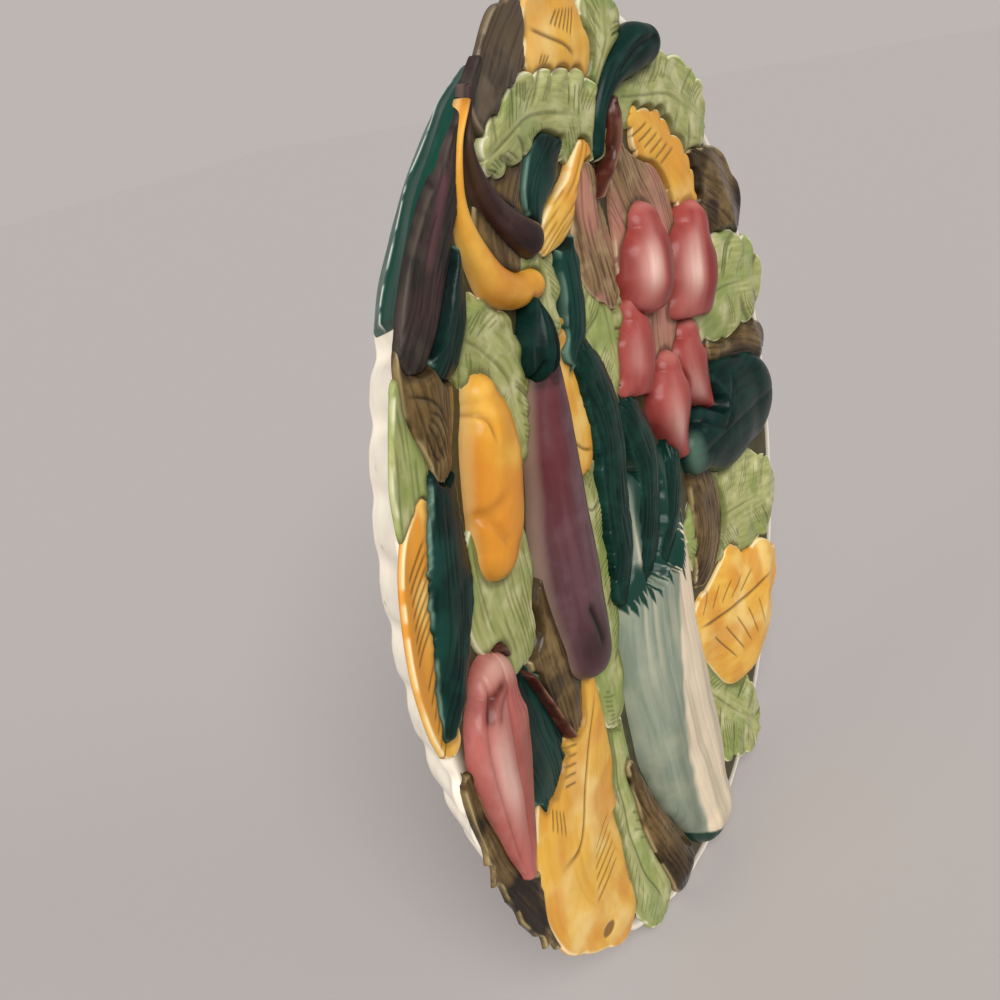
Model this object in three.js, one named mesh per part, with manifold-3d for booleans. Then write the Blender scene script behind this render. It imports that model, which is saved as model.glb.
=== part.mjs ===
// Oval wall platter in glazed earthenware. The dish carries vegetables and leaves in relief,
// each one a sprig pressed in its own mould and luted to the dish, so each is a solid of its own.
// Frame: +Z up, the wall is the plane y = 0 and the front faces -Y. The origin is the middle of
// the foot ring's back face. "Depth" below is the distance in front of the wall, so y = -depth.
import * as THREE from "three";
import { mergeVertices } from "three/addons/utils/BufferGeometryUtils.js";
import Module from "manifold-3d";

// Driving dimensions in millimetres
const LIP_WIDTH = 308; // across the oval of the lip
const LIP_HEIGHT = 388;
const LIP_DEPTH = 30; // from the wall to the lip
const DISH_RISE = 8; // from the floor of the dish up to the lip
const RIM_BAND = 70; // width of the band that rises to the lip
const SKIN = 8; // thickness of the dish
const LIP_ROUND = 2; // rounding at the lip
const RIM_WALL = 8; // thickness of the rim's turned-back wall
const RIM_WALL_BACK = 9; // from the wall to the back edge of the rim
const RIM_FLARE = 11; // how far the rim's wall draws in towards its back edge
const FOOT_WIDTH = 160; // outside of the oval foot ring
const FOOT_HEIGHT = 230;
const FOOT_THICKNESS = 10;
const HANGING_HOLE = 7; // diameter of the two holes for a hanging wire
const HOLE_SPACING = 70;
const LUTE = 0.3; // joint of slip between two pieces
const SEAT = 1.5; // depth by which an uncut sprig dips into the dish
const DRAWN_WIDTH = 308; // lip oval on which the stations of the sprigs are drawn
const DRAWN_HEIGHT = 388;
const SPRIG_UNIT = 1; // one unit of a sprig's stations, edge and crown
const RIM_LEAF_THICKNESS = 3; // leaf draped over the lip
const RIM_LEAF_DROP = 17; // how far it hangs down behind the lip
const RIM_LEAF_HOLD = 9; // how far it lies on the front
const RIM_LEAF_NARROW = 0.35; // share of its drop and hold that is left at its narrow end
const RIM_LEAF_ARC = [109, 143]; // degrees around the oval, from +X towards +Z

// Divisions of the surfaces
const OVAL_STEPS = 64;
const RIM_BAND_RINGS = 4;
const HOLE_STEPS = 16;
const STEPS_PER_STATION = 2;
const CAP_ANGLES = [76, 40];
const RIM_LEAF_STEPS = 8;
const WELD = 1e-4; // points closer than this are one vertex

const FLOOR_DEPTH = LIP_DEPTH - DISH_RISE;
const FOOT_DEPTH = FLOOR_DEPTH - SKIN - LUTE; // from the wall to the top of the foot ring
const HALF_WIDTH = LIP_WIDTH / 2;
const HALF_HEIGHT = LIP_HEIGHT / 2;
const MEAN_RADIUS = (HALF_WIDTH + HALF_HEIGHT) / 2;
const STRETCH_X = (SPRIG_UNIT * LIP_WIDTH) / DRAWN_WIDTH;
const STRETCH_Z = (SPRIG_UNIT * LIP_HEIGHT) / DRAWN_HEIGHT;

// Cross-sections of a sprig: a flat-edged leaf with a low crown, or a round fruit.
// Each gives the columns across the sprig and the crown's share at a column.
const LEAF = {
  columns: [-1, 0, 1],
  share: (across) => 1 - across * across,
  fall: 0.5, // how fast the crown follows the width towards the ends
};
const FRUIT = {
  columns: [-1, -0.75, 0, 0.75, 1],
  share: (across) => Math.sqrt(Math.max(0, 1 - across * across)),
  fall: 0.7,
};

const GLAZES = {
  cream: { color: "#e8dfd0", roughness: 0.25 },
  clay: { color: "#c9a27c", roughness: 0.9 },
  aubergine: { color: "#54343e", roughness: 0.18 },
  dark_green: { color: "#12362f", roughness: 0.18 },
  teal: { color: "#2f6a5c", roughness: 0.2 },
  squash: { color: "#e0a63c", roughness: 0.2 },
  yellow: { color: "#e3b048", roughness: 0.2 },
  red_pepper: { color: "#b04c4a", roughness: 0.2 },
  brown: { color: "#6b5836", roughness: 0.22 },
  lettuce: { color: "#b0be80", roughness: 0.22 },
  leek: { color: "#9aa596", roughness: 0.2 },
  stem: { color: "#5a2a22", roughness: 0.22 },
  radicchio: { color: "#3f3435", roughness: 0.2 },
};

// The sprigs, front-most first, so each one is trimmed round those above it in the list.
// A station is [x, z, half width] along the sprig's spine. The edge is the sprig's height above the
// dish at its outline, and the crown is what its middle adds.
const SPRIGS = [
  { name: "aubergine_calyx", glaze: "dark_green", form: FRUIT, edge: 7, crown: 12,
    stations: [[-46, 98, 3], [-49, 91, 7], [-53, 82, 8], [-55, 72, 2]] },
  { name: "centre_aubergine", glaze: "aubergine", form: FRUIT, edge: 4, crown: 17,
    stations: [[-47, 90, 6], [-55, 70, 9], [-65, 40, 13], [-70, 5, 16], [-66, -32, 13]] },
  { name: "yellow_squash", glaze: "squash", form: FRUIT, edge: 4, crown: 13,
    stations: [[-93, 88, 10], [-93, 72, 15], [-96, 52, 17], [-98, 35, 14]] },
  { name: "long_pepper_stem", glaze: "stem", form: FRUIT, edge: 10, crown: 5,
    stations: [[-118, 3, 3], [-126, 3, 2.5], [-130, -4, 2], [-130, -14, 1.5]] },
  { name: "long_red_pepper", glaze: "red_pepper", form: FRUIT, edge: 4, crown: 12,
    stations: [[-134, -3, 13], [-133, -22, 18], [-133, -50, 15], [-131, -83, 5]] },
  { name: "radicchio_leaf", glaze: "radicchio", form: LEAF, edge: 6, crown: 5,
    stations: [[-60, 181, 5], [-92, 155, 7], [-111, 129, 10], [-120, 107, 9]] },
  { name: "chard_leaf", glaze: "dark_green", form: LEAF, edge: 5, crown: 5,
    stations: [[-96, 140, 5], [-101, 122, 11], [-105, 104, 11]] },
  { name: "small_aubergine", glaze: "aubergine", form: FRUIT, edge: 5, crown: 9,
    stations: [[-75, 172, 3], [-79, 153, 6], [-75, 138, 7], [-63, 130, 7], [-50, 127, 4]] },
  { name: "yellow_chilli", glaze: "squash", form: FRUIT, edge: 4, crown: 8,
    stations: [[-84, 160, 2], [-88, 145, 5], [-85, 127, 8], [-72, 116, 8], [-57, 112, 5]] },
  { name: "stem_bud", glaze: "stem", form: FRUIT, edge: 8, crown: 5,
    stations: [[27, 153, 4], [25, 140, 5]] },
  { name: "stem_right", glaze: "brown", form: LEAF, edge: 7, crown: 4,
    stations: [[28, 133, 6], [42, 120, 12], [62, 106, 7]] },
  { name: "leek_blade_left", glaze: "dark_green", form: LEAF, edge: 7, crown: 5,
    stations: [[-20, -22, 11], [-21, 18, 10], [-21, 56, 8], [-24, 82, 4]] },
  { name: "leek_blade_inner", glaze: "dark_green", form: LEAF, edge: 7, crown: 6,
    stations: [[5, -26, 13], [7, 6, 14], [6, 32, 11], [4, 54, 4]] },
  { name: "leek_blade_right", glaze: "dark_green", form: LEAF, edge: 7, crown: 6,
    stations: [[30, -24, 12], [33, -4, 11], [38, 12, 4]] },
  { name: "leek_bulb", glaze: "leek", form: FRUIT, edge: 5, crown: 14,
    stations: [[6, -8, 22], [0, -40, 29], [-3, -70, 30], [2, -107, 33], [8, -137, 30], [13, -165, 21]] },
  { name: "red_pepper_top_left", glaze: "red_pepper", form: FRUIT, edge: 4, crown: 15,
    stations: [[36, 103, 15], [35, 94, 20], [33, 80, 14]] },
  { name: "red_pepper_top_right", glaze: "red_pepper", form: FRUIT, edge: 4, crown: 15,
    stations: [[77, 91, 17], [79, 80, 22], [85, 64, 12]] },
  { name: "red_pepper_low_centre", glaze: "red_pepper", form: FRUIT, edge: 4, crown: 13,
    stations: [[37, 42, 12], [39, 27, 15], [45, 2, 4]] },
  { name: "red_pepper_low_left", glaze: "red_pepper", form: FRUIT, edge: 4, crown: 11,
    stations: [[20, 70, 16], [18, 58, 17], [18, 40, 8]] },
  { name: "red_pepper_low_right", glaze: "red_pepper", form: FRUIT, edge: 4, crown: 11,
    stations: [[66, 48, 14], [71, 35, 15], [86, 9, 3]] },
  { name: "green_pepper", glaze: "dark_green", form: FRUIT, edge: 4, crown: 13,
    stations: [[67, -5, 14], [94, -2, 28], [122, -2, 25]] },
  { name: "onion_bulb", glaze: "brown", form: FRUIT, edge: 5, crown: 7,
    stations: [[-1, 130, 9], [-4, 116, 14], [0, 98, 12]] },
  { name: "dark_courgette", glaze: "dark_green", form: FRUIT, edge: 4, crown: 8,
    stations: [[12, 141, 5], [16, 157, 6], [28, 170, 8], [42, 174, 9], [51, 174, 8]] },
  { name: "dark_leaf_small", glaze: "dark_green", form: LEAF, edge: 6, crown: 4,
    stations: [[-18, 150, 2], [-31, 142, 8], [-43, 131, 5]] },
  { name: "yellow_leaf_inner", glaze: "yellow", form: LEAF, edge: 5, crown: 3,
    stations: [[-3, 143, 4], [-18, 132, 9], [-32, 118, 7]] },
  { name: "dark_leaf_band", glaze: "dark_green", form: LEAF, edge: 6, crown: 4,
    stations: [[-21, 113, 5], [-21, 98, 7], [-24, 84, 7], [-30, 74, 3]] },
  { name: "lettuce_leaf_notch", glaze: "lettuce", form: LEAF, edge: 4, crown: 2,
    stations: [[-40, 114, 10], [-40, 103, 13], [-40, 88, 9]] },
  { name: "lettuce_leaf_heart", glaze: "lettuce", form: LEAF, edge: 4, crown: 3,
    stations: [[-4, 104, 10], [-3, 88, 14], [-4, 60, 12]] },
  { name: "yellow_leaf_centre", glaze: "yellow", form: LEAF, edge: 4, crown: 3,
    stations: [[-34, 82, 8], [-37, 62, 14], [-32, 38, 10]] },
  { name: "lettuce_leaf_strip", glaze: "lettuce", form: LEAF, edge: 3, crown: 2,
    stations: [[-36, 44, 14], [-38, 2, 18], [-39, -33, 16], [-41, -74, 9]] },
  { name: "brown_leaf_left", glaze: "brown", form: LEAF, edge: 5, crown: 3,
    stations: [[-120, 102, 15], [-119, 88, 17], [-121, 70, 10]] },
  { name: "dark_leaf_left", glaze: "dark_green", form: LEAF, edge: 6, crown: 3,
    stations: [[-124, 66, 8], [-127, 45, 14], [-136, 22, 12], [-152, -6, 3]] },
  { name: "lettuce_leaf_squash", glaze: "lettuce", form: LEAF, edge: 3, crown: 3,
    stations: [[-98, 104, 12], [-85, 97, 18], [-70, 86, 15]] },
  { name: "lettuce_leaf_under", glaze: "lettuce", form: LEAF, edge: 4, crown: 3,
    stations: [[-101, 24, 22], [-101, 9, 22], [-99, -4, 14]] },
  { name: "red_stem", glaze: "stem", form: LEAF, edge: 8, crown: 2,
    stations: [[-105, -11, 2], [-97, -30, 2.5], [-87, -52, 2]] },
  { name: "dark_leaf_low", glaze: "dark_green", form: LEAF, edge: 5, crown: 3,
    stations: [[-110, -12, 8], [-104, -36, 14], [-101, -58, 16]] },
  { name: "brown_leaf_low", glaze: "brown", form: LEAF, edge: 5, crown: 3,
    stations: [[-81, 4, 6], [-81, -18, 13], [-77, -40, 12], [-75, -57, 6]] },
  { name: "yellow_leaf_low", glaze: "yellow", form: LEAF, edge: 4, crown: 4,
    stations: [[-62, -52, 13], [-78, -82, 28], [-91, -116, 33], [-89, -140, 26], [-82, -156, 15]] },
  { name: "brown_stem_low", glaze: "brown", form: LEAF, edge: 4, crown: 5,
    stations: [[-147, -34, 5], [-141, -61, 7], [-133, -89, 9], [-123, -113, 8]] },
  { name: "brown_leaf_base", glaze: "brown", form: LEAF, edge: 4, crown: 4,
    stations: [[-40, -103, 6], [-32, -140, 12], [-23, -164, 15], [-10, -180, 11]] },
  { name: "lettuce_leaf_base", glaze: "lettuce", form: LEAF, edge: 3, crown: 3,
    stations: [[-47, -78, 8], [-50, -116, 13], [-53, -152, 17], [-46, -174, 14]] },
  { name: "brown_leaf_right_low", glaze: "brown", form: LEAF, edge: 6, crown: 3,
    stations: [[55, -12, 14], [56, -34, 21], [56, -56, 17]] },
  { name: "yellow_leaf_right", glaze: "yellow", form: LEAF, edge: 4, crown: 4,
    stations: [[48, -98, 15], [78, -105, 34], [102, -104, 32], [118, -98, 18]] },
  { name: "lettuce_leaf_right_low", glaze: "lettuce", form: LEAF, edge: 3, crown: 3,
    stations: [[82, -42, 16], [108, -52, 26], [126, -57, 22]] },
  { name: "lettuce_leaf_corner", glaze: "lettuce", form: LEAF, edge: 3, crown: 3,
    stations: [[44, -128, 14], [58, -144, 22], [71, -158, 18]] },
  { name: "lettuce_leaf_right", glaze: "lettuce", form: LEAF, edge: 4, crown: 3,
    stations: [[98, 58, 17], [117, 58, 25], [136, 54, 20]] },
  { name: "brown_leaf_right", glaze: "brown", form: LEAF, edge: 3, crown: 3,
    stations: [[106, 32, 10], [128, 27, 13], [142, 20, 11]] },
  { name: "yellow_leaf_top_right", glaze: "yellow", form: LEAF, edge: 5, crown: 3,
    stations: [[42, 141, 11], [64, 129, 15], [92, 109, 8]] },
  { name: "brown_leaf_top_right", glaze: "brown", form: LEAF, edge: 4, crown: 4,
    stations: [[96, 112, 12], [112, 102, 20], [124, 92, 17]] },
  { name: "lettuce_leaf_fan", glaze: "lettuce", form: LEAF, edge: 3, crown: 4,
    stations: [[46, 154, 12], [74, 150, 18], [97, 138, 16]] },
  { name: "lettuce_leaf_crown", glaze: "lettuce", form: LEAF, edge: 5, crown: 3,
    stations: [[-60, 154, 9], [-37, 160, 12], [-11, 157, 15], [14, 150, 13]] },
  { name: "brown_leaf_inner", glaze: "brown", form: LEAF, edge: 3, crown: 3,
    stations: [[-45, 149, 8], [-54, 142, 12], [-63, 138, 9]] },
  { name: "brown_leaf_top", glaze: "brown", form: LEAF, edge: 5, crown: 3,
    stations: [[-38, 185, 14], [-49, 178, 16], [-62, 166, 14]] },
  { name: "yellow_leaf_top", glaze: "yellow", form: LEAF, edge: 4, crown: 3,
    stations: [[-8, 183, 20], [-8, 176, 23], [-9, 167, 20]] },
  { name: "lettuce_leaf_top", glaze: "lettuce", form: LEAF, edge: 3, crown: 3,
    stations: [[16, 161, 10], [22, 171, 14], [27, 180, 17]] },
  { name: "yellow_leaf_left", glaze: "yellow", form: LEAF, edge: 4, crown: 3,
    stations: [[-139, 64, 10], [-145, 39, 12], [-151, 7, 10], [-152, -20, 6]] },
  { name: "lettuce_leaf_left", glaze: "lettuce", form: LEAF, edge: 3, crown: 3,
    stations: [[-132, 96, 10], [-131, 80, 14], [-133, 62, 12]] },
];

const TALLEST_SPRIG = SPRIG_UNIT * Math.max(...SPRIGS.map(({ edge, crown }) => edge + crown));

const wasm = await Module();
wasm.setup();

// Depth of the dish's front surface: flat in the middle, rising as a square towards the lip.
function dishDepth(x, z) {
  const inset = (1 - Math.hypot(x / HALF_WIDTH, z / HALF_HEIGHT)) * MEAN_RADIUS;
  const climb = Math.max(0, 1 - inset / RIM_BAND);
  return FLOOR_DEPTH + DISH_RISE * climb * climb;
}

// Point of the oval that lies a given inset inside the lip, at an angle from +X towards +Z.
function ovalPoint(inset, angle, depth) {
  const x = (HALF_WIDTH - inset) * Math.cos(angle);
  const z = (HALF_HEIGHT - inset) * Math.sin(angle);
  return new THREE.Vector3(x, -depth, z);
}

// Indexed geometry from points and triangles, turned so that its faces point out.
function closedGeometry(points, triangles) {
  let volume = 0;
  for (const [a, b, c] of triangles) {
    volume += points[a].dot(new THREE.Vector3().crossVectors(points[b], points[c]));
  }
  const outward = volume > 0 ? triangles : triangles.map(([a, b, c]) => [a, c, b]);
  const geometry = new THREE.BufferGeometry().setFromPoints(points);
  geometry.setIndex(outward.flat());
  return geometry;
}

// Closed solid between a front and a back grid of points, with walls round the border.
function slab(front, back, rowCount, columnCount) {
  const offset = front.length;
  const at = (row, column) => row * columnCount + column;
  const triangles = [];
  const quad = (a, b, c, d) => triangles.push([a, b, c], [a, c, d]);
  for (let row = 0; row < rowCount - 1; row += 1) {
    for (let column = 0; column < columnCount - 1; column += 1) {
      const corners = [at(row, column), at(row, column + 1), at(row + 1, column + 1), at(row + 1, column)];
      quad(...corners);
      quad(...corners.reverse().map((index) => index + offset));
    }
  }
  const border = [];
  for (let row = 0; row < rowCount - 1; row += 1) border.push(at(row, 0));
  for (let column = 0; column < columnCount - 1; column += 1) border.push(at(rowCount - 1, column));
  for (let row = rowCount - 1; row > 0; row -= 1) border.push(at(row, columnCount - 1));
  for (let column = columnCount - 1; column > 0; column -= 1) border.push(at(0, column));
  border.forEach((index, step) => {
    const next = border[(step + 1) % border.length];
    quad(index, next, next + offset, index + offset);
  });
  return closedGeometry([...front, ...back], triangles);
}

// Rings of oval points joined into a closed skin. The first and last ring are closed by a middle point.
function ovalSkin(rings, firstMiddle, lastMiddle) {
  const points = rings.flat();
  const triangles = [];
  rings.slice(1).forEach((ring, index) => {
    for (let step = 0; step < OVAL_STEPS; step += 1) {
      const a = index * OVAL_STEPS + step;
      const b = index * OVAL_STEPS + ((step + 1) % OVAL_STEPS);
      triangles.push([a, b, b + OVAL_STEPS], [a, b + OVAL_STEPS, a + OVAL_STEPS]);
    }
  });
  const last = (rings.length - 1) * OVAL_STEPS;
  points.push(firstMiddle, lastMiddle);
  for (let step = 0; step < OVAL_STEPS; step += 1) {
    const next = (step + 1) % OVAL_STEPS;
    triangles.push([points.length - 2, next, step], [points.length - 1, last + step, last + next]);
  }
  return closedGeometry(points, triangles);
}

// The dish with its turned-back rim, hollow behind, with every outer face moved out by a growth.
function dishGeometry(growth) {
  const ring = (inset, depthAt) =>
    Array.from({ length: OVAL_STEPS }, (_, step) => {
      const point = ovalPoint(inset, (step / OVAL_STEPS) * 2 * Math.PI, 0);
      point.y = -depthAt(point.x, point.z);
      return point;
    });
  const front = (x, z) => dishDepth(x, z) + growth;
  const back = (x, z) => dishDepth(x, z) - SKIN - growth;
  const level = (depth) => () => depth;
  const backEdge = RIM_WALL_BACK - growth;
  const innerFoot = RIM_FLARE + RIM_WALL + growth;
  const bandRing = RIM_BAND / RIM_BAND_RINGS;
  const frontInsets = Array.from({ length: RIM_BAND_RINGS }, (_, step) => RIM_BAND - bandRing * step);
  const rings = [
    ...frontInsets.map((inset) => ring(inset, front)),
    ring(LIP_ROUND - growth, level(LIP_DEPTH + growth)),
    ring(-growth, level(LIP_DEPTH - LIP_ROUND)),
    ring(RIM_FLARE - growth, level(backEdge)),
    ring(innerFoot, level(backEdge)),
    ring(innerFoot, back),
    ring(RIM_BAND / 2, back),
    ring(RIM_BAND, back),
  ];
  const middle = (depth) => new THREE.Vector3(0, -depth, 0);
  return ovalSkin(rings, middle(FLOOR_DEPTH + growth), middle(FLOOR_DEPTH - SKIN - growth));
}

// Oval foot ring as an extruded outline with a hole, standing from the wall to the back of the dish.
function footRingGeometry() {
  const outline = new THREE.Shape();
  outline.absellipse(0, 0, FOOT_WIDTH / 2, FOOT_HEIGHT / 2, 0, 2 * Math.PI);
  const hole = new THREE.Path();
  hole.absellipse(0, 0, FOOT_WIDTH / 2 - FOOT_THICKNESS, FOOT_HEIGHT / 2 - FOOT_THICKNESS, 0, 2 * Math.PI);
  outline.holes.push(hole);
  const ring = new THREE.ExtrudeGeometry(outline, {
    depth: FOOT_DEPTH,
    bevelEnabled: false,
    curveSegments: OVAL_STEPS,
  });
  ring.rotateX(Math.PI / 2);
  return ring;
}

// Drill along Z for one hanging hole, through the top of the foot ring.
function hangingDrill(x) {
  const top = FOOT_HEIGHT / 2;
  const drill = new THREE.CylinderGeometry(HANGING_HOLE / 2, HANGING_HOLE / 2, top, HOLE_STEPS);
  drill.rotateX(Math.PI / 2);
  drill.translate(x, -FOOT_DEPTH / 2, top);
  return drill;
}

// Rows along a sprig: the smooth spine through its stations and a round cap at each end.
function sprigRows(stations, growth) {
  const spine = stations.map(([x, z, half]) => new THREE.Vector3(x * STRETCH_X, z * STRETCH_Z, half));
  const curve = new THREE.CatmullRomCurve3(spine, false, "catmullrom");
  const steps = (stations.length - 1) * STEPS_PER_STATION;
  const rowAt = (share, along, narrowing) => {
    const point = curve.getPoint(share);
    const tangent = curve.getTangent(share);
    const run = new THREE.Vector2(tangent.x, tangent.y).normalize();
    const side = new THREE.Vector2(-run.y, run.x);
    const half = point.z * Math.hypot(side.x * STRETCH_X, side.y * STRETCH_Z) + growth;
    const centre = new THREE.Vector2(point.x, point.y).addScaledVector(run, along * half);
    return { centre, side, half: half * narrowing };
  };
  const cap = (share, sense) =>
    CAP_ANGLES.map((degrees) => {
      const angle = THREE.MathUtils.degToRad(degrees);
      return rowAt(share, sense * Math.sin(angle), Math.cos(angle));
    });
  const body = Array.from({ length: steps + 1 }, (_, step) => rowAt(step / steps, 0, 1));
  return [...cap(0, -1), ...body, ...cap(1, 1).reverse()];
}

// Uncut sprig: its front is the dish plus the edge and the crown, its back dips into the dish.
function sprigGeometry({ form, edge, crown, stations }) {
  const rows = sprigRows(stations, 0);
  const widest = Math.max(...rows.map((row) => row.half));
  const front = [];
  const back = [];
  for (const row of rows) {
    const swell = (row.half / widest) ** form.fall;
    for (const across of form.columns) {
      const { x, y: z } = row.centre.clone().addScaledVector(row.side, row.half * across);
      const seat = dishDepth(x, z);
      const height = SPRIG_UNIT * (edge + crown * swell * form.share(across));
      front.push(new THREE.Vector3(x, -(seat + height), z));
      back.push(new THREE.Vector3(x, -(seat - SEAT), z));
    }
  }
  return slab(front, back, rows.length, form.columns.length);
}

// Prism along Y over a sprig's outline, grown by the lute, which trims the sprigs that lie lower.
function trimPrism({ stations }) {
  const rows = sprigRows(stations, LUTE);
  const left = rows.map((row) => row.centre.clone().addScaledVector(row.side, row.half));
  const right = rows.map((row) => row.centre.clone().addScaledVector(row.side, -row.half));
  const outline = new THREE.Shape([...right, ...left.reverse()]);
  const depth = LIP_DEPTH + TALLEST_SPRIG + LUTE;
  const prism = new THREE.ExtrudeGeometry(outline, { depth, bevelEnabled: false });
  prism.rotateX(Math.PI / 2);
  return prism;
}

// Uncut leaf that is draped over the lip: it lies on the front, turns over and hangs down the rim's wall.
// A growth moves its outer faces and its ends out.
function rimLeafGeometry(growth) {
  const [start, end] = RIM_LEAF_ARC.map((degrees) => THREE.MathUtils.degToRad(degrees));
  const wallInset = (depth) => (RIM_FLARE * (LIP_DEPTH - depth)) / (LIP_DEPTH - RIM_WALL_BACK);
  const front = [];
  const back = [];
  for (let step = 0; step <= RIM_LEAF_STEPS; step += 1) {
    const along = step / RIM_LEAF_STEPS;
    const angle = start + (end - start) * along + ((2 * along - 1) * growth) / MEAN_RADIUS;
    const spread = THREE.MathUtils.lerp(RIM_LEAF_NARROW, 1, along);
    const hold = RIM_LEAF_HOLD * spread + growth;
    const { x, z } = ovalPoint(hold, angle, LIP_DEPTH);
    const lowest = LIP_DEPTH - RIM_LEAF_DROP * spread - growth;
    const halfway = (LIP_DEPTH + lowest) / 2;
    // Each corner is an inset, a depth, and the shares of the thickness that stand off outwards and forwards.
    const path = [
      [hold, dishDepth(x, z), 0, 1],
      [LIP_ROUND, LIP_DEPTH, 0, 1],
      [0, LIP_DEPTH - LIP_ROUND, Math.SQRT1_2, Math.SQRT1_2],
      [wallInset(halfway), halfway, 1, 0],
      [wallInset(lowest), lowest, 1, 0],
    ];
    for (const [inset, depth, outward, forward] of path) {
      const proud = RIM_LEAF_THICKNESS + growth;
      front.push(ovalPoint(inset - proud * outward, angle, depth + proud * forward));
      back.push(ovalPoint(inset + SEAT * outward, angle, depth - SEAT * forward));
    }
  }
  return slab(front, back, RIM_LEAF_STEPS + 1, front.length / (RIM_LEAF_STEPS + 1));
}

// Solid for cutting, from a closed geometry.
function solidOf(geometry) {
  geometry.deleteAttribute("normal");
  geometry.deleteAttribute("uv");
  const merged = mergeVertices(geometry, WELD);
  return new wasm.Manifold(
    new wasm.Mesh({
      numProp: 3,
      vertProperties: new Float32Array(merged.attributes.position.array),
      triVerts: new Uint32Array(merged.index.array),
    }),
  );
}

// Geometry of a solid's largest body. Slivers that a cut leaves beside it fall away.
function largestBody(solid) {
  const bodies = solid.decompose().sort((a, b) => b.volume() - a.volume());
  const mesh = bodies[0].getMesh();
  const geometry = new THREE.BufferGeometry();
  geometry.setAttribute("position", new THREE.BufferAttribute(new Float32Array(mesh.vertProperties), 3));
  geometry.setIndex(new THREE.BufferAttribute(new Uint32Array(mesh.triVerts), 1));
  return geometry;
}

// True where two solids' boxes meet in the plane of the wall.
function boxesMeet(first, second) {
  const a = first.boundingBox();
  const b = second.boundingBox();
  return [0, 2].every((axis) => a.min[axis] <= b.max[axis] && b.min[axis] <= a.max[axis]);
}

function piece(name, glaze, geometry) {
  const material = new THREE.MeshStandardMaterial({ ...GLAZES[glaze], metalness: 0 });
  geometry.computeVertexNormals();
  const mesh = new THREE.Mesh(geometry, material);
  mesh.name = name;
  return mesh;
}

function dish() {
  const group = new THREE.Group();
  group.add(piece("platter_body", "cream", dishGeometry(0)));
  let ring = solidOf(footRingGeometry());
  for (const side of [-1, 1]) {
    ring = ring.subtract(solidOf(hangingDrill((side * HOLE_SPACING) / 2)));
  }
  group.add(piece("foot_ring", "clay", largestBody(ring)));
  return group;
}

function relief() {
  const group = new THREE.Group();
  const dishBed = solidOf(dishGeometry(LUTE));
  const rimLeaf = solidOf(rimLeafGeometry(0)).subtract(dishBed);
  group.add(piece("teal_rim_leaf", "teal", largestBody(rimLeaf)));
  const bed = dishBed.add(solidOf(rimLeafGeometry(LUTE)));
  const prisms = [];
  const trim = (uncut) => {
    let solid = uncut.subtract(bed);
    for (const prism of prisms.filter((other) => boxesMeet(uncut, other))) {
      solid = solid.subtract(prism);
    }
    return largestBody(solid);
  };
  for (const sprig of SPRIGS) {
    group.add(piece(sprig.name, sprig.glaze, trim(solidOf(sprigGeometry(sprig)))));
    prisms.push(solidOf(trimPrism(sprig)));
  }
  return group;
}

const platter = new THREE.Group();
platter.add(dish(), relief());

export default platter;
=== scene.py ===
"""Looks of an oval wall platter in glazed earthenware with vegetables and leaves in relief.

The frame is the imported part's: metres, +Z up, the wall is the plane y = 0 and the front faces -Y.
Sizes below are in millimetres. "Depth" is the distance in front of the wall, so y = -depth.
"""
import logging
from dataclasses import dataclass, field
from enum import Enum, auto
from typing import Any

import bpy
import numpy as np
from mathutils import Matrix, Vector

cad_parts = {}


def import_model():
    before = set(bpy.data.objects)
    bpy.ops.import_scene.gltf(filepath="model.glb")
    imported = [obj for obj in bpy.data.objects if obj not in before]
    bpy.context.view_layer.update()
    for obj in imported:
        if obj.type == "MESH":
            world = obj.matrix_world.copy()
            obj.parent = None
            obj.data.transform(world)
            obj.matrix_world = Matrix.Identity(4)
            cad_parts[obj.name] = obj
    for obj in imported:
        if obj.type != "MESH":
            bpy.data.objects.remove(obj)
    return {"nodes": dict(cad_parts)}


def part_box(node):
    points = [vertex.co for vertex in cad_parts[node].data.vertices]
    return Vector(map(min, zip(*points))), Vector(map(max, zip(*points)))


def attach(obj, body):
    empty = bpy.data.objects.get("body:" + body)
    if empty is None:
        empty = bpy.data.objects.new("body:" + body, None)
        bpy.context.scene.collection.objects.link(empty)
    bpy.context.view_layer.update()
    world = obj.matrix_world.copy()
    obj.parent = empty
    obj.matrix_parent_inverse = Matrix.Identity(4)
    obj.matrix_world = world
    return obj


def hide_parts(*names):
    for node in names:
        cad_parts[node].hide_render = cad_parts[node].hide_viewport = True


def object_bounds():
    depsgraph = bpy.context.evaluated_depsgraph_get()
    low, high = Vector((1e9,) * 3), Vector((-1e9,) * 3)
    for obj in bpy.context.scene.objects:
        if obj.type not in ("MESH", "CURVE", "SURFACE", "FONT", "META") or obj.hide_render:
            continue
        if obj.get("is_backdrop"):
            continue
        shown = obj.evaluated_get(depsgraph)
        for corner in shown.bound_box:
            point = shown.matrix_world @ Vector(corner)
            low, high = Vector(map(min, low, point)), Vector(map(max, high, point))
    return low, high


LOG = logging.getLogger("platter")
BODY = "root"
MM = 0.001
PAINT = "paint"
STROKES = "strokes"
Array = np.ndarray
Stations = tuple[tuple[float, float, float], ...]


def srgb(colour: str) -> tuple[float, float, float, float]:
    """Turns an sRGB hex value into linear red, green, blue and alpha.

    Args:
        colour: the hex value, such as "#E8DFD0".

    Returns:
        The linear colour, opaque.
    """
    share = np.array([int(colour[start:start + 2], 16) for start in (1, 3, 5)]) / 255
    linear = np.where(share <= 0.04045, share / 12.92, ((share + 0.055) / 1.055) ** 2.4)
    return (*linear.tolist(), 1.0)


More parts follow.
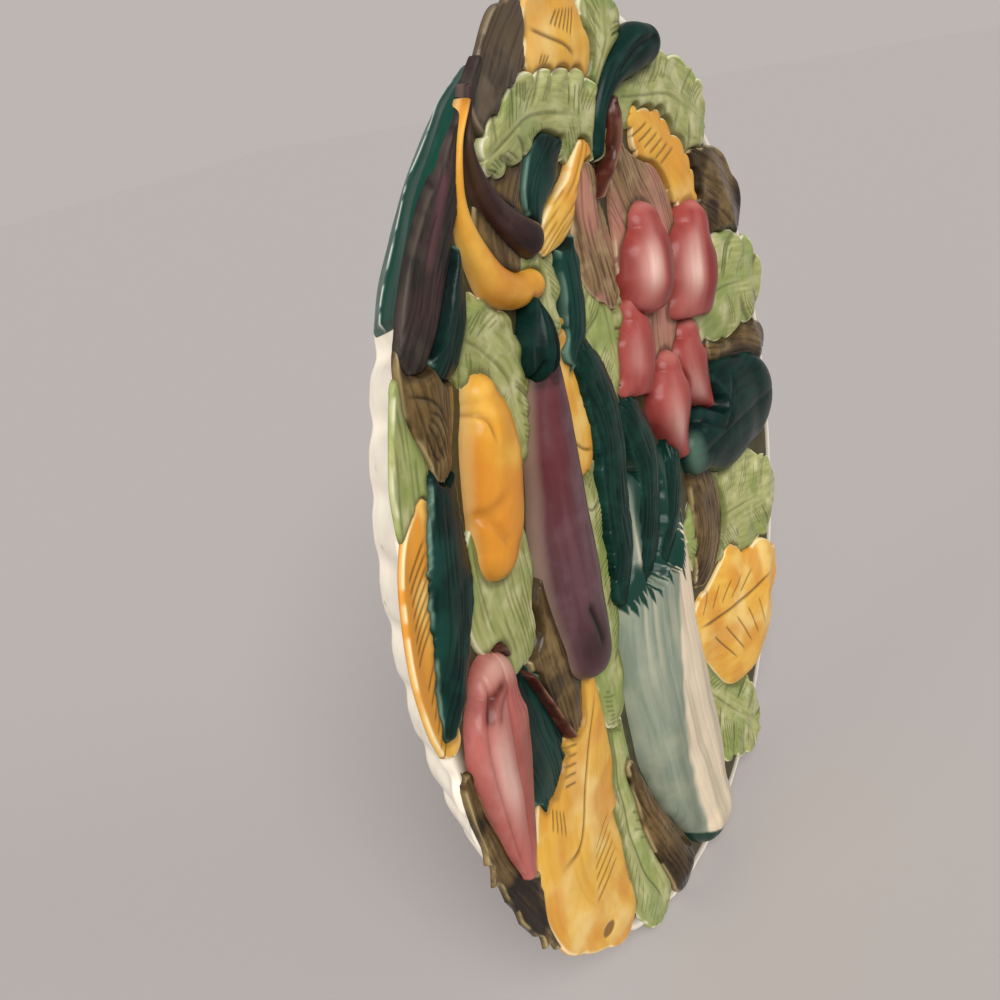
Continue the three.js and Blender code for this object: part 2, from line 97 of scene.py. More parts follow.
def smoothstep(low: float | Array, high: float | Array, value: Array) -> Array:
    """Rises from 0 at low to 1 at high, level at both ends: 3t^2 - 2t^3.

    Args:
        low: the value at which it leaves 0.
        high: the value at which it reaches 1.
        value: where it is read.

    Returns:
        The share at each value.
    """
    share = np.clip((value - low) / (high - low), 0, 1)
    return share * share * (3 - 2 * share)


def between(start: float | Array, full: float | Array, wane: float | Array, end: float | Array,
            value: Array) -> Array:
    """Rises from 0 at start to 1 at full and falls from 1 at wane to 0 at end: two smoothsteps' product.

    Args:
        start: where it leaves 0.
        full: where it reaches 1.
        wane: where it leaves 1.
        end: where it is 0 again.
        value: where it is read.

    Returns:
        The share at each value.
    """
    return smoothstep(start, full, value) * smoothstep(end, wane, value)


def bell(distance: Array, width: float | Array) -> Array:
    """Falls from 1 at no distance towards 0 past the width: exp(-(d / w)^2)."""
    return np.exp(-((distance / width) ** 2))


def hashed(cell: Array, seed: float) -> Array:
    """Gives each cell number a fixed share between 0 and 1: the fraction of a large sine."""
    wave = np.sin(cell * 12.9898 + seed * 78.233) * 43758.5453
    return wave - np.floor(wave)


def drift(value: Array, seed: float) -> Array:
    """Smooth noise along one axis: hashed whole numbers joined by smoothsteps, 0 to 1."""
    cell = np.floor(value)
    low, high = hashed(cell, seed), hashed(cell + 1, seed)
    return low + (high - low) * smoothstep(0, 1, value - cell)


def cloud(x: Array, z: Array, seed: float) -> Array:
    """Smooth noise over a plane: four hashed corners joined by smoothsteps, 0 to 1.

    Args:
        x: first coordinate, in cells.
        z: second coordinate, in cells.
        seed: picks the noise.

    Returns:
        The noise at each point.
    """
    column, row = np.floor(x), np.floor(z)
    right, up = smoothstep(0, 1, x - column), smoothstep(0, 1, z - row)

    def corner(step_x: int, step_z: int) -> Array:
        """Hashed value of one corner of the cell."""
        return hashed((column + step_x) * 1.17 + (row + step_z) * 57.31, seed)

    low = corner(0, 0) * (1 - right) + corner(1, 0) * right
    high = corner(0, 1) * (1 - right) + corner(1, 1) * right
    return low * (1 - up) + high * up


def ruled(way: Array, spacing: float | Array, width: float) -> Array:
    """Lines at an even spacing: a bell of the distance from the middle of each space."""
    return bell(np.abs((way / spacing) % 1 - 0.5) * spacing, width)


def to_segment(x: Array, z: Array, start: Array, end: Array) -> tuple[Array, Array]:
    """Distance from places to a straight line between two points, square to it or from its ends.

    Args:
        x: places across, mm.
        z: places upwards.
        start: first point of the line, x and z.
        end: last point.

    Returns:
        The distance of each place, and how far along the line its nearest point lies, 0 to 1.
    """
    side = end - start
    east, up = x - start[0], z - start[1]
    run = np.clip((east * side[0] + up * side[1]) / max(side @ side, 1e-9), 0, 1)
    return np.hypot(east - run * side[0], up - run * side[1]), run


def smooth_min(first: Array, second: Array, blend: float) -> Array:
    """The lower of two heights, with the corner between them rounded over the blend."""
    share = np.clip(0.5 + 0.5 * (second - first) / blend, 0, 1)
    return second * (1 - share) + first * share - blend * share * (1 - share)


def add_node(tree: bpy.types.NodeTree, kind: str, settings: dict[str, Any],
             links: dict[Any, Any]) -> bpy.types.Node:
    """Adds a node, sets its properties, and sets or links its inputs.

    Args:
        tree: the node tree.
        kind: the node's type name.
        settings: property names and their values.
        links: input names or numbers, each with an output socket or a constant.

    Returns:
        The new node.
    """
    made = tree.nodes.new(kind)
    for name, value in settings.items():
        setattr(made, name, value)
    for name, value in links.items():
        if isinstance(value, bpy.types.NodeSocket):
            tree.links.new(value, made.inputs[name])
        else:
            made.inputs[name].default_value = value
    return made


def add_object(name: str, data: bpy.types.ID) -> bpy.types.Object:
    """Makes an object of a mesh, camera or light and links it to the scene."""
    made = bpy.data.objects.new(name, data)
    bpy.context.scene.collection.objects.link(made)
    return made


@dataclass(frozen=True)
class Glaze:
    """Majolica glaze: coloured lead-type glaze brushed over white earthenware and fired glossy.

    The eye sees soft brush strokes, pooled colour in the hollows and white body where the glaze
    runs thin over an edge. Some pieces also use the pooled colour for painted shade and the edge colour for
    painted highlights. Paint channels of a piece choose where each colour lies.

    Attributes:
        name: material name.
        slot: the record's material slot; not used.
        base: main colour.
        deep: where strokes overlap.
        light: where the brush left little.
        wash: second colour, laid where the piece's wash channel says.
        line: pigment in engraved lines.
        brim_and_highlight: thin glaze over an edge, and a painted highlight on some pieces.
        pool: thick glaze in a hollow, and painted shade where sprigs meet, at fruits' sides and in grooves.
        stroke: width of a brush stroke, mm.
        stroke_run: length of a stroke as a multiple of its width.
        streak: how strongly the strokes show.
        mottle: size of the cloudy patches, mm.
        patchy: how strongly the patches show.
        roughness: mean roughness of the fired surface.
        gloss: how strongly it mirrors, as the shader's specular level.
        peel: size of the ripples that firing leaves, mm.
        ripple: their height, mm.
    """

    name: str
    slot: str
    base: str
    deep: str
    light: str
    wash: str
    line: str
    brim_and_highlight: str
    pool: str
    stroke: float = 2.2
    stroke_run: float = 9.0
    streak: float = 0.55
    mottle: float = 9.0
    patchy: float = 0.4
    roughness: float = 0.2
    gloss: float = 0.22
    peel: float = 3.5
    ripple: float = 0.35

    def material(self) -> bpy.types.Material:
        """Builds the material: strokes on the piece's UV map, patches on object coordinates.

        Returns:
            The material, made once for each glaze.
        """
        known = bpy.data.materials.get(self.name)
        if known:
            return known
        made = bpy.data.materials.new(self.name)
        made.use_nodes = True
        tree = made.node_tree
        tree.nodes.clear()
        paint = add_node(tree, "ShaderNodeAttribute", {"attribute_name": PAINT}, {})
        channel = add_node(tree, "ShaderNodeSeparateColor", {}, {"Color": paint.outputs["Color"]})
        place = add_node(tree, "ShaderNodeTexCoord", {}, {})
        run = add_node(tree, "ShaderNodeUVMap", {"uv_map": STROKES}, {})
        brush = add_node(tree, "ShaderNodeMapping", {}, {
            "Vector": run.outputs["UV"],
            "Scale": (1 / (self.stroke * self.stroke_run), 1 / self.stroke, 1)})
        stroke = add_node(tree, "ShaderNodeTexNoise", {"noise_dimensions": "2D"}, {
            "Vector": brush.outputs["Vector"], "Scale": 1.0, "Detail": 3.0, "Roughness": 0.6})
        strokes = add_node(tree, "ShaderNodeMapRange", {"interpolation_type": "SMOOTHSTEP"}, {
            "Value": stroke.outputs["Fac"], "From Min": 0.36, "From Max": 0.68, "To Max": self.streak})
        patch = add_node(tree, "ShaderNodeTexNoise", {}, {
            "Vector": place.outputs["Object"], "Scale": 1 / (self.mottle * MM), "Detail": 4.0})
        patches = add_node(tree, "ShaderNodeMapRange", {"interpolation_type": "SMOOTHSTEP"}, {
            "Value": patch.outputs["Fac"], "From Min": 0.45, "From Max": 0.7, "To Max": self.patchy})
        ragged = add_node(tree, "ShaderNodeMath", {"operation": "MULTIPLY_ADD"}, {
            0: stroke.outputs["Fac"], 1: 0.7, 2: -0.35})
        torn = add_node(tree, "ShaderNodeMath", {"operation": "MULTIPLY"}, {
            0: ragged.outputs[0], 1: channel.outputs["Green"]})
        washed = add_node(tree, "ShaderNodeMath", {"operation": "ADD", "use_clamp": True}, {
            0: channel.outputs["Green"], 1: torn.outputs[0]})
        colour: Any = srgb(self.base)
        # The pooled colour also lays painted shade, and the edge colour painted highlights, where a piece's
        # paint asks for them.
        layers = (
            (strokes.outputs["Result"], self.deep),
            (patches.outputs["Result"], self.light),
            (washed.outputs[0], self.wash),
            (paint.outputs["Alpha"], self.pool),
            (channel.outputs["Blue"], self.brim_and_highlight),
            (channel.outputs["Red"], self.line),
        )
        for amount, over in layers:
            mix = add_node(tree, "ShaderNodeMix", {"data_type": "RGBA"}, {
                0: amount, 6: colour, 7: srgb(over)})
            colour = mix.outputs[2]
        peel = add_node(tree, "ShaderNodeTexNoise", {}, {
            "Vector": place.outputs["Object"], "Scale": 1 / (self.peel * MM), "Detail": 2.0})
        ridge = add_node(tree, "ShaderNodeMath", {"operation": "MULTIPLY_ADD"}, {
            0: stroke.outputs["Fac"], 1: 0.5, 2: peel.outputs["Fac"]})
        bump = add_node(tree, "ShaderNodeBump", {}, {
            "Strength": 0.25, "Distance": self.ripple * MM, "Height": ridge.outputs[0]})
        sheen = add_node(tree, "ShaderNodeMapRange", {}, {
            "Value": patch.outputs["Fac"], "From Min": 0.3, "From Max": 0.7,
            "To Min": self.roughness - 0.05, "To Max": self.roughness + 0.07})
        shader = add_node(tree, "ShaderNodeBsdfPrincipled", {}, {
            "Base Color": colour, "Roughness": sheen.outputs["Result"], "IOR": 1.4,
            "Specular IOR Level": self.gloss, "Coat Weight": 0.06, "Coat Roughness": 0.12,
            "Normal": bump.outputs["Normal"]})
        add_node(tree, "ShaderNodeOutputMaterial", {}, {"Surface": shader.outputs["BSDF"]})
        return made


# Cream glaze of the rim. Its wash is the dark glaze on the floor, its line darkens that as painted shade in
# the gaps between the sprigs and specks the rim.
CREAM = Glaze(
    "cream_glaze", "cream",
    "#EFE4D2", "#DCCDB6", "#F6EEDF", "#4E4A30", "#3F3A26", "#F6F0E6", "#A89B86",
    stroke=8.0, stroke_run=2.0, streak=0.35, mottle=22.0, patchy=0.5, roughness=0.34)
# Manganese purple glaze. Its wash is the wine red of one side, its line the black in its lower groove.
# Its pale edge colour is thin glaze and a painted highlight.
AUBERGINE = Glaze(
    "aubergine_glaze", "aubergine",
    "#5E3F43", "#45292E", "#73595E", "#5A2024", "#140C0C", "#A08A78", "#2A1A1C",
    stroke=4.0, stroke_run=14.0, streak=0.5, patchy=0.3, roughness=0.29)
# The same purple on the small fruit. Its wash is the olive brown of one side.
# Its pale edge colour is thin glaze and a painted highlight, as on the large fruit.
SMALL_AUBERGINE = Glaze(
    "small_aubergine_glaze", "aubergine",
    "#3A2322", "#1D0E0D", "#5A4642", "#5E482E", "#120806", "#6E5A50", "#1E1110",
    stroke=2.5, stroke_run=14.0, streak=0.6, patchy=0.3, roughness=0.29)
# Copper green glaze, nearly black where thick. Its wash is the thinner blue green.
DARK_GREEN = Glaze(
    "dark_green_glaze", "dark_green",
    "#082822", "#061613", "#1C4038", "#173E35", "#030A08", "#5E7A6A", "#07110F",
    stroke=2.4, streak=0.75, patchy=0.35, roughness=0.3, gloss=0.12)
# The copper green brushed over the leek's leaves. Its wash is the pale leaf between the strokes.
BLADE = Glaze(
    "leek_blade_glaze", "dark_green",
    "#0A2C24", "#081D18", "#1B4238", "#BDB99F", "#04100D", "#34594C", "#0A1A16",
    stroke=1.5, stroke_run=18.0, streak=0.85, gloss=0.12)
# The same copper glaze run thin over the rim. Its near-white edge colour is a painted highlight along the
# lip's crease.
TEAL = Glaze(
    "teal_rim_glaze", "teal",
    "#445E50", "#2F4A3E", "#6E8778", "#0F3A2E", "#0B2920", "#E2EADF", "#123028",
    stroke=3.5, streak=0.6, patchy=0.5, roughness=0.27)
# Iron yellow glaze of the squash. Its wash is the orange of a second coat.
SQUASH = Glaze(
    "squash_glaze", "squash",
    "#D39532", "#CA882B", "#E2B04E", "#CB7F28", "#7E4E1E", "#E2BE7C", "#8F5C20",
    stroke=7.0, stroke_run=4.0, streak=0.6, mottle=20.0, patchy=0.8, roughness=0.29)
# Iron yellow glaze of the leaves, with brown pigment in the engraved veins.
YELLOW = Glaze(
    "yellow_leaf_glaze", "yellow",
    "#E0AE48", "#D39630", "#E8C77E", "#D08C30", "#5A3E1A", "#EBD6A2", "#8A6126",
    stroke=5.0, stroke_run=5.0, streak=0.6, mottle=20.0, patchy=0.8, roughness=0.31)
# Pink-red glaze of the peppers. Its wash is a pale pink painted highlight; its edge colour paints a
# highlight along the top, its pooled colour paints shade at the sides.
RED_PEPPER = Glaze(
    "red_pepper_glaze", "red_pepper",
    "#9A423C", "#802E29", "#AE625B", "#DEB8AB", "#6E1F1A", "#C07C72", "#761F1A",
    stroke=3.5, stroke_run=10.0, streak=0.5, mottle=14.0, patchy=0.3, roughness=0.3)
# The same red in a thinner coat on the long pepper.
# Its wash is the pale pink of a painted highlight; its pooled colour paints shade at the sides, its edge
# colour a highlight along the top.
LONG_PEPPER = Glaze(
    "long_pepper_glaze", "red_pepper",
    "#A85E56", "#914842", "#C68C80", "#DDB9AC", "#5E2620", "#D2A896", "#8C463C",
    stroke=3.0, stroke_run=14.0, mottle=12.0, patchy=0.3, roughness=0.3)
# Manganese brown glaze brushed thin over cream. Its wash is the nearly black second coat.
BROWN = Glaze(
    "brown_leaf_glaze", "brown",
    "#6A5330", "#3C2C18", "#8E764A", "#1C120A", "#170F08", "#A08C62", "#241A0F",
    stroke=1.8, stroke_run=10.0, streak=0.75, mottle=8.0, patchy=0.5)
# The brown glaze with manganese purple in it, at the top of the dish.
BROWN_TOP = Glaze(
    "brown_top_glaze", "brown",
    "#52463A", "#332A22", "#6E5E4C", "#5A4A34", "#1A130E", "#8A7A62", "#2A211A",
    stroke_run=8.0, streak=0.7, patchy=0.5)
# Thin brown glaze of the stalks. Its wash is the pink between the peppers.
STALK = Glaze(
    "stalk_glaze", "brown",
    "#8E724E", "#54402A", "#B59A74", "#B4786A", "#2E1C12", "#C0A684", "#3A2818",
    stroke=1.6, stroke_run=14.0, streak=0.85, patchy=0.5)
# Pale copper green glaze. Its wash is the grass green of a second coat.
LETTUCE = Glaze(
    "lettuce_glaze", "lettuce",
    "#A8A86E", "#868C4C", "#C6C394", "#7E8E48", "#4A4E28", "#DAD6B0", "#5A5A30",
    stroke=2.6, stroke_run=6.0, streak=0.75, patchy=0.75)
# Grey-green glaze of the leek. Its wash is the bare cream side, its line the dark green of tops and root.
LEEK = Glaze(
    "leek_glaze", "leek",
    "#8A9180", "#6E7C6C", "#A6A78E", "#D8C6AB", "#16382E", "#C8BEA4", "#5A5E4A",
    stroke=3.0, stroke_run=16.0, streak=0.7, mottle=16.0, patchy=0.35, roughness=0.3)
# Dark red-brown glaze of the thin stems.
STEM = Glaze(
    "stem_glaze", "stem",
    "#54261C", "#2E120C", "#7E5040", "#A87C62", "#220D08", "#9A6B55", "#2E1510",
    stroke=1.4, stroke_run=12.0, streak=0.7, mottle=6.0)
# Purple-black glaze of the radicchio. Its wash is the plum red of the ribs.
RADICCHIO = Glaze(
    "radicchio_glaze", "radicchio",
    "#332D28", "#1C1815", "#50463C", "#5A383C", "#120E0C", "#4A4038", "#161C18",
    stroke=1.8, stroke_run=16.0, streak=0.85, patchy=0.45, roughness=0.6)


@dataclass(frozen=True)
class BareClay:
    """Unglazed buff earthenware, wiped clean before firing: matt, with grit and stains.

    Attributes:
        slot: the record's material slot; not used.
        base: colour of the fired clay.
        dark: colour of iron specks and of dirt in the grain.
        grit: size of a grain of grit, mm, drawn coarse enough to show.
        stain: size of a stain, mm.
    """

    slot: str = "clay"
    base: str = "#CDAA86"
    dark: str = "#94704F"
    grit: float = 1.6
    stain: float = 25.0

    def material(self) -> bpy.types.Material:
        """Builds the material from two noises on object coordinates.

        Returns:
            The clay material.
        """
        made = bpy.data.materials.new("bare_earthenware")
        made.use_nodes = True
        tree = made.node_tree
        tree.nodes.clear()
        place = add_node(tree, "ShaderNodeTexCoord", {}, {})
        grain = add_node(tree, "ShaderNodeTexNoise", {}, {
            "Vector": place.outputs["Object"], "Scale": 1 / (self.grit * MM), "Detail": 5.0})
        stain = add_node(tree, "ShaderNodeTexNoise", {}, {
            "Vector": place.outputs["Object"], "Scale": 1 / (self.stain * MM), "Detail": 3.0})
        amount = add_node(tree, "ShaderNodeMath", {"operation": "MULTIPLY", "use_clamp": True}, {
            0: grain.outputs["Fac"], 1: stain.outputs["Fac"]})
        mix = add_node(tree, "ShaderNodeMix", {"data_type": "RGBA"}, {
            0: amount.outputs[0], 6: srgb(self.base), 7: srgb(self.dark)})
        bump = add_node(tree, "ShaderNodeBump", {}, {
            "Strength": 0.5, "Distance": 0.3 * MM, "Height": grain.outputs["Fac"]})
        shader = add_node(tree, "ShaderNodeBsdfPrincipled", {}, {
            "Base Color": mix.outputs[2], "Roughness": 0.85, "Normal": bump.outputs["Normal"]})
        add_node(tree, "ShaderNodeOutputMaterial", {}, {"Surface": shader.outputs["BSDF"]})
        return made


@dataclass
class Surface:
    """A closed mesh as arrays: points, faces, stroke coordinates and paint.

    Attributes:
        points: places in mm, one row each: x, depth, z.
        quads: corner numbers of the four-sided faces.
        triangles: corner numbers of the three-sided faces.
        run: stroke coordinates of each point, mm along and across.
        paint: line, wash, brim and pool of each point.
    """

    points: Array
    quads: Array
    triangles: Array
    run: Array
    paint: Array

    def piece(self, name: str, material: bpy.types.Material) -> bpy.types.Object:
        """Turns the arrays into a smooth-shaded object whose faces point outwards.

        Args:
            name: the object's name.
            material: its material.

        Returns:
            The object, at the origin, with its place in its mesh.
        """
        place = np.stack([self.points[:, 0], -self.points[:, 1], self.points[:, 2]], 1) * MM
        split = np.concatenate([self.triangles, self.quads[:, :3], self.quads[:, [0, 2, 3]]])
        a, b, c = (place[split[:, corner]] for corner in range(3))
        turned = np.einsum("ij,ij->", a, np.cross(b, c)) < 0
        quads = self.quads[:, ::-1] if turned else self.quads
        triangles = self.triangles[:, ::-1] if turned else self.triangles
        corners = np.concatenate([quads.ravel(), triangles.ravel()]).astype(np.int32)
        sides = np.repeat([4, 3], [len(quads), len(triangles)])
        mesh = bpy.data.meshes.new(name)
        mesh.vertices.add(len(place))
        mesh.vertices.foreach_set("co", place.astype(np.float32).ravel())
        mesh.loops.add(len(corners))
        mesh.loops.foreach_set("vertex_index", corners)
        mesh.polygons.add(len(sides))
        mesh.polygons.foreach_set("loop_start", (np.cumsum(sides) - sides).astype(np.int32))
        mesh.polygons.foreach_set("use_smooth", np.ones(len(sides), bool))
        mesh.update(calc_edges=True)
        mesh.validate()
        strokes = mesh.uv_layers.new(name=STROKES)
        strokes.data.foreach_set("uv", self.run[corners].astype(np.float32).ravel())
        paint = mesh.color_attributes.new(PAINT, "FLOAT_COLOR", "POINT")
        paint.data.foreach_set("color", np.clip(self.paint, 0, 1).astype(np.float32).ravel())
        mesh.materials.append(material)
        return add_object(name, mesh)


def tube_faces(rows: int, columns: int) -> tuple[Array, Array]:
    """Faces of a grid that closes round its columns, with a pole point past each end row.

    Args:
        rows: number of rows.
        columns: points in a row.

    Returns:
        Quads of the grid, and the triangles to the two poles, numbered after the grid's points.
    """
    row, column = np.meshgrid(np.arange(rows - 1), np.arange(columns), indexing="ij")
    here, beside = row * columns + column, row * columns + (column + 1) % columns
    quads = np.stack([here, beside, beside + columns, here + columns], -1).reshape(-1, 4)
    step = np.arange(columns)
    beside = (step + 1) % columns
    last = (rows - 1) * columns
    first_pole = np.full(columns, rows * columns)
    triangles = np.concatenate([
        np.stack([beside, step, first_pole], 1),
        np.stack([last + step, last + beside, first_pole + 1], 1)])
    return quads, triangles


@dataclass
class Dish:
    """The dish with its turned-back rim, hollow behind.

    Attributes:
        half_width: half of the lip's oval across, mm, from the frame.
        half_height: half of it upwards.
        lip_depth: from the wall to the lip.
        back_edge: from the wall to the rim's back edge.
        rise: from the floor of the dish up to the lip.
        band: width of the band that rises to the lip.
        skin: thickness of the dish.
        lip_round: rounding of the lip.
        flare: how far the rim's wall draws in towards its back edge.
        wall: thickness of the rim's wall.
        presses: number of finger presses round the rim.
        press_depth: how deep a finger pressed.
        slip: thickness of the slip that fills the front between the sprigs.
        slip_edge: distances in from the lip where the slip begins and where it is full.
        speck: size of the dark specks on the rim.
        speck_ink: how dark the specks are.
        speck_width: width of the band of the noise that becomes specks.
        speck_seed: picks the specks.
        floor_shade: how far the floor's glaze is darkened, painted shade for the gaps between the sprigs.
        columns: points round the oval.
        floor_rings: rings of points on the level floor.
        floor_span: its first and last ring, as shares of the floor's oval.
        band_rings: rings on the band.
        lip_rings: rings on the rounding of the lip.
        wall_rings: rings down the rim's wall.
        back_rings: rings behind the band.
    """

    half_width: float
    half_height: float
    lip_depth: float
    back_edge: float
    rise: float = 8.0
    band: float = 70.0
    skin: float = 8.0
    lip_round: float = 3.0
    flare: float = 11.0
    wall: float = 8.0
    presses: int = 52
    press_depth: float = 3.8
    slip: float = 2.2
    slip_edge: tuple[float, float] = (4.0, 9.0)
    speck: float = 1.6
    speck_ink: float = 0.7
    speck_width: float = 0.035
    speck_seed: float = 5.0
    floor_shade: float = 0.85
    columns: int = 832
    floor_rings: int = 12
    floor_span: tuple[float, float] = (0.02, 0.96)
    band_rings: int = 24
    lip_rings: int = 8
    wall_rings: int = 22
    back_rings: int = 10

    @classmethod
    def from_frame(cls) -> "Dish":
        """Takes the lip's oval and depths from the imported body."""
        low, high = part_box("platter_body")
        return cls(high.x / MM, high.z / MM, -low.y / MM, -high.y / MM)

    @property
    def mean_radius(self) -> float:
        """Mean of the oval's half width and half height, mm."""
        return (self.half_width + self.half_height) / 2

    def inset(self, x: Array, z: Array) -> Array:
        """Distance in from the lip, as a share of the oval times its mean radius, mm."""
        return (1 - np.hypot(x / self.half_width, z / self.half_height)) * self.mean_radius

    def depth(self, x: Array, z: Array) -> Array:
        """Depth of the dish's front: level in the middle, rising as a square towards the lip.

        Args:
            x: places across, mm.
            z: places upwards, mm.

        Returns:
            The depth at each place.
        """
        climb = np.maximum(0, 1 - self.inset(x, z) / self.band)
        return self.lip_depth - self.rise + self.rise * climb ** 2

    def profile(self) -> tuple[Array, Array, Array]:
        """Section of the body outside the level floor, from the front over the lip to the back.

        Returns:
            Distances in from the lip; depths, with nan on the dish's front and minus infinity on its
            back; and how far down the rim's wall each point lies, from 0 at the lip to 1.
        """
        front = np.linspace(self.band, self.lip_round, self.band_rings)[:-1]
        turn = np.radians(np.linspace(0, 90, self.lip_rings))
        down = np.linspace(0, 1, self.wall_rings)[1:]
        edge = np.array([0.8, 2.5, self.wall - 2.0, self.wall - 0.4])
        back = np.linspace(self.flare + self.wall, self.band, self.back_rings)
        wall_top = self.lip_depth - self.lip_round
        lip = self.lip_round - self.lip_round * np.sin(turn)
        inset = np.concatenate([front, lip, self.flare * down, self.flare + edge, back])
        depth = np.concatenate([
            np.full(len(front), np.nan),
            wall_top + self.lip_round * np.cos(turn),
            wall_top - (wall_top - self.back_edge) * down,
            self.back_edge + np.array([0.0, 0.0, 0.0, 0.6]),
            np.full(len(back), -np.inf)])
        along = np.concatenate([np.zeros(len(front) + len(turn)), down, np.ones(len(edge) + len(back))])
        return inset, depth, along

    def pressed(self, inset: Array, along: Array, angle: Array) -> Array:
        """How far a row of fingertips draws the rim's wall in, mm.

        press_depth times (0.5 + 0.5 cos(n t))^2 at each press, most at the middle of the wall, with
        each press a little deeper or wider than the next.

        Args:
            inset: distances in from the lip, one for each row.
            along: places down the wall, one for each row.
            angle: places round the oval, one for each column.

        Returns:
            The distance of each row and column.
        """
        swing = 0.16 * np.sin(5 * angle + 1.0) + 0.12 * np.sin(11 * angle)
        phase = self.presses * angle + 3 * swing
        depth = 0.55 + 0.9 * drift(phase / (2 * np.pi) + 0.5, 3.0)
        press = (0.5 + 0.5 * np.cos(phase)) ** 2 * depth
        reach = np.where(along > 0, 0.5 + 0.5 * np.sin(np.pi * np.clip(along, 0, 1) ** 0.7), 0.0)
        on_lip = (along == 0) & (inset < self.lip_round)
        reach = np.where(on_lip, 0.5 * smoothstep(self.lip_round, 0.0, inset), reach)
        return self.press_depth * reach[:, None] * press[None, :]

    def surface(self) -> Surface:
        """Carries the profile round the oval, closes it with the level floor and paints the front.

        Returns:
            The body's surface.
        """
        inset, depth, along = self.profile()
        angle = np.linspace(0, 2 * np.pi, self.columns, endpoint=False)
        inwards = inset[:, None] + self.pressed(inset, along, angle)
        x = (self.half_width - inwards) * np.cos(angle)
        z = (self.half_height - inwards) * np.sin(angle)
        front = self.depth(x, z)
        start, full = self.slip_edge
        filled = front + self.slip * smoothstep(start, full, inset)[:, None]
        deep = np.where(np.isnan(depth)[:, None], filled, depth[:, None])
        deep = np.where(np.isneginf(depth)[:, None], front - self.skin, deep)
        inner = np.linspace(*self.floor_span, self.floor_rings)
        ring_x = (self.half_width - self.band) * np.cos(angle)
        ring_z = (self.half_height - self.band) * np.sin(angle)
        x = np.concatenate([inner[:, None] * ring_x, x, inner[::-1, None] * ring_x])
        z = np.concatenate([inner[:, None] * ring_z, z, inner[::-1, None] * ring_z])
        floor = self.lip_depth - self.rise
        level = np.full((len(inner), self.columns), floor)
        deep = np.concatenate([level + self.slip, deep, level - self.skin])
        quads, triangles = tube_faces(len(x), self.columns)
        points = np.stack([x, deep, z], -1).reshape(-1, 3)
        poles = np.array([[0, floor + self.slip, 0], [0, floor - self.skin, 0]])
        none = np.zeros(len(inner))
        ground = np.where(np.isnan(depth), smoothstep(start - 0.5, full, inset), 0)
        ground = np.broadcast_to(np.concatenate([none + 1, ground, none])[:, None], x.shape)
        rim = np.concatenate([none, np.isfinite(depth), none])[:, None]
        grain = cloud(x / self.speck, z / self.speck, self.speck_seed) - 1.0
        speck = bell(grain, self.speck_width) * self.speck_ink * rim
        # Painted shade: the floor between the sprigs darkened with the line colour, and specks on the rim.
        dark = np.maximum(speck, self.floor_shade * ground)
        paint = np.stack([dark, ground, speck * 0, speck * 0], -1).reshape(-1, 4)
        run = np.stack([np.broadcast_to(angle * self.mean_radius, x.shape), np.hypot(x, z) + deep], -1)
        return Surface(np.vstack([points, poles]), quads, triangles,
                       np.vstack([run.reshape(-1, 2), np.zeros((2, 2))]),
                       np.vstack([paint, np.zeros((2, 4))]))


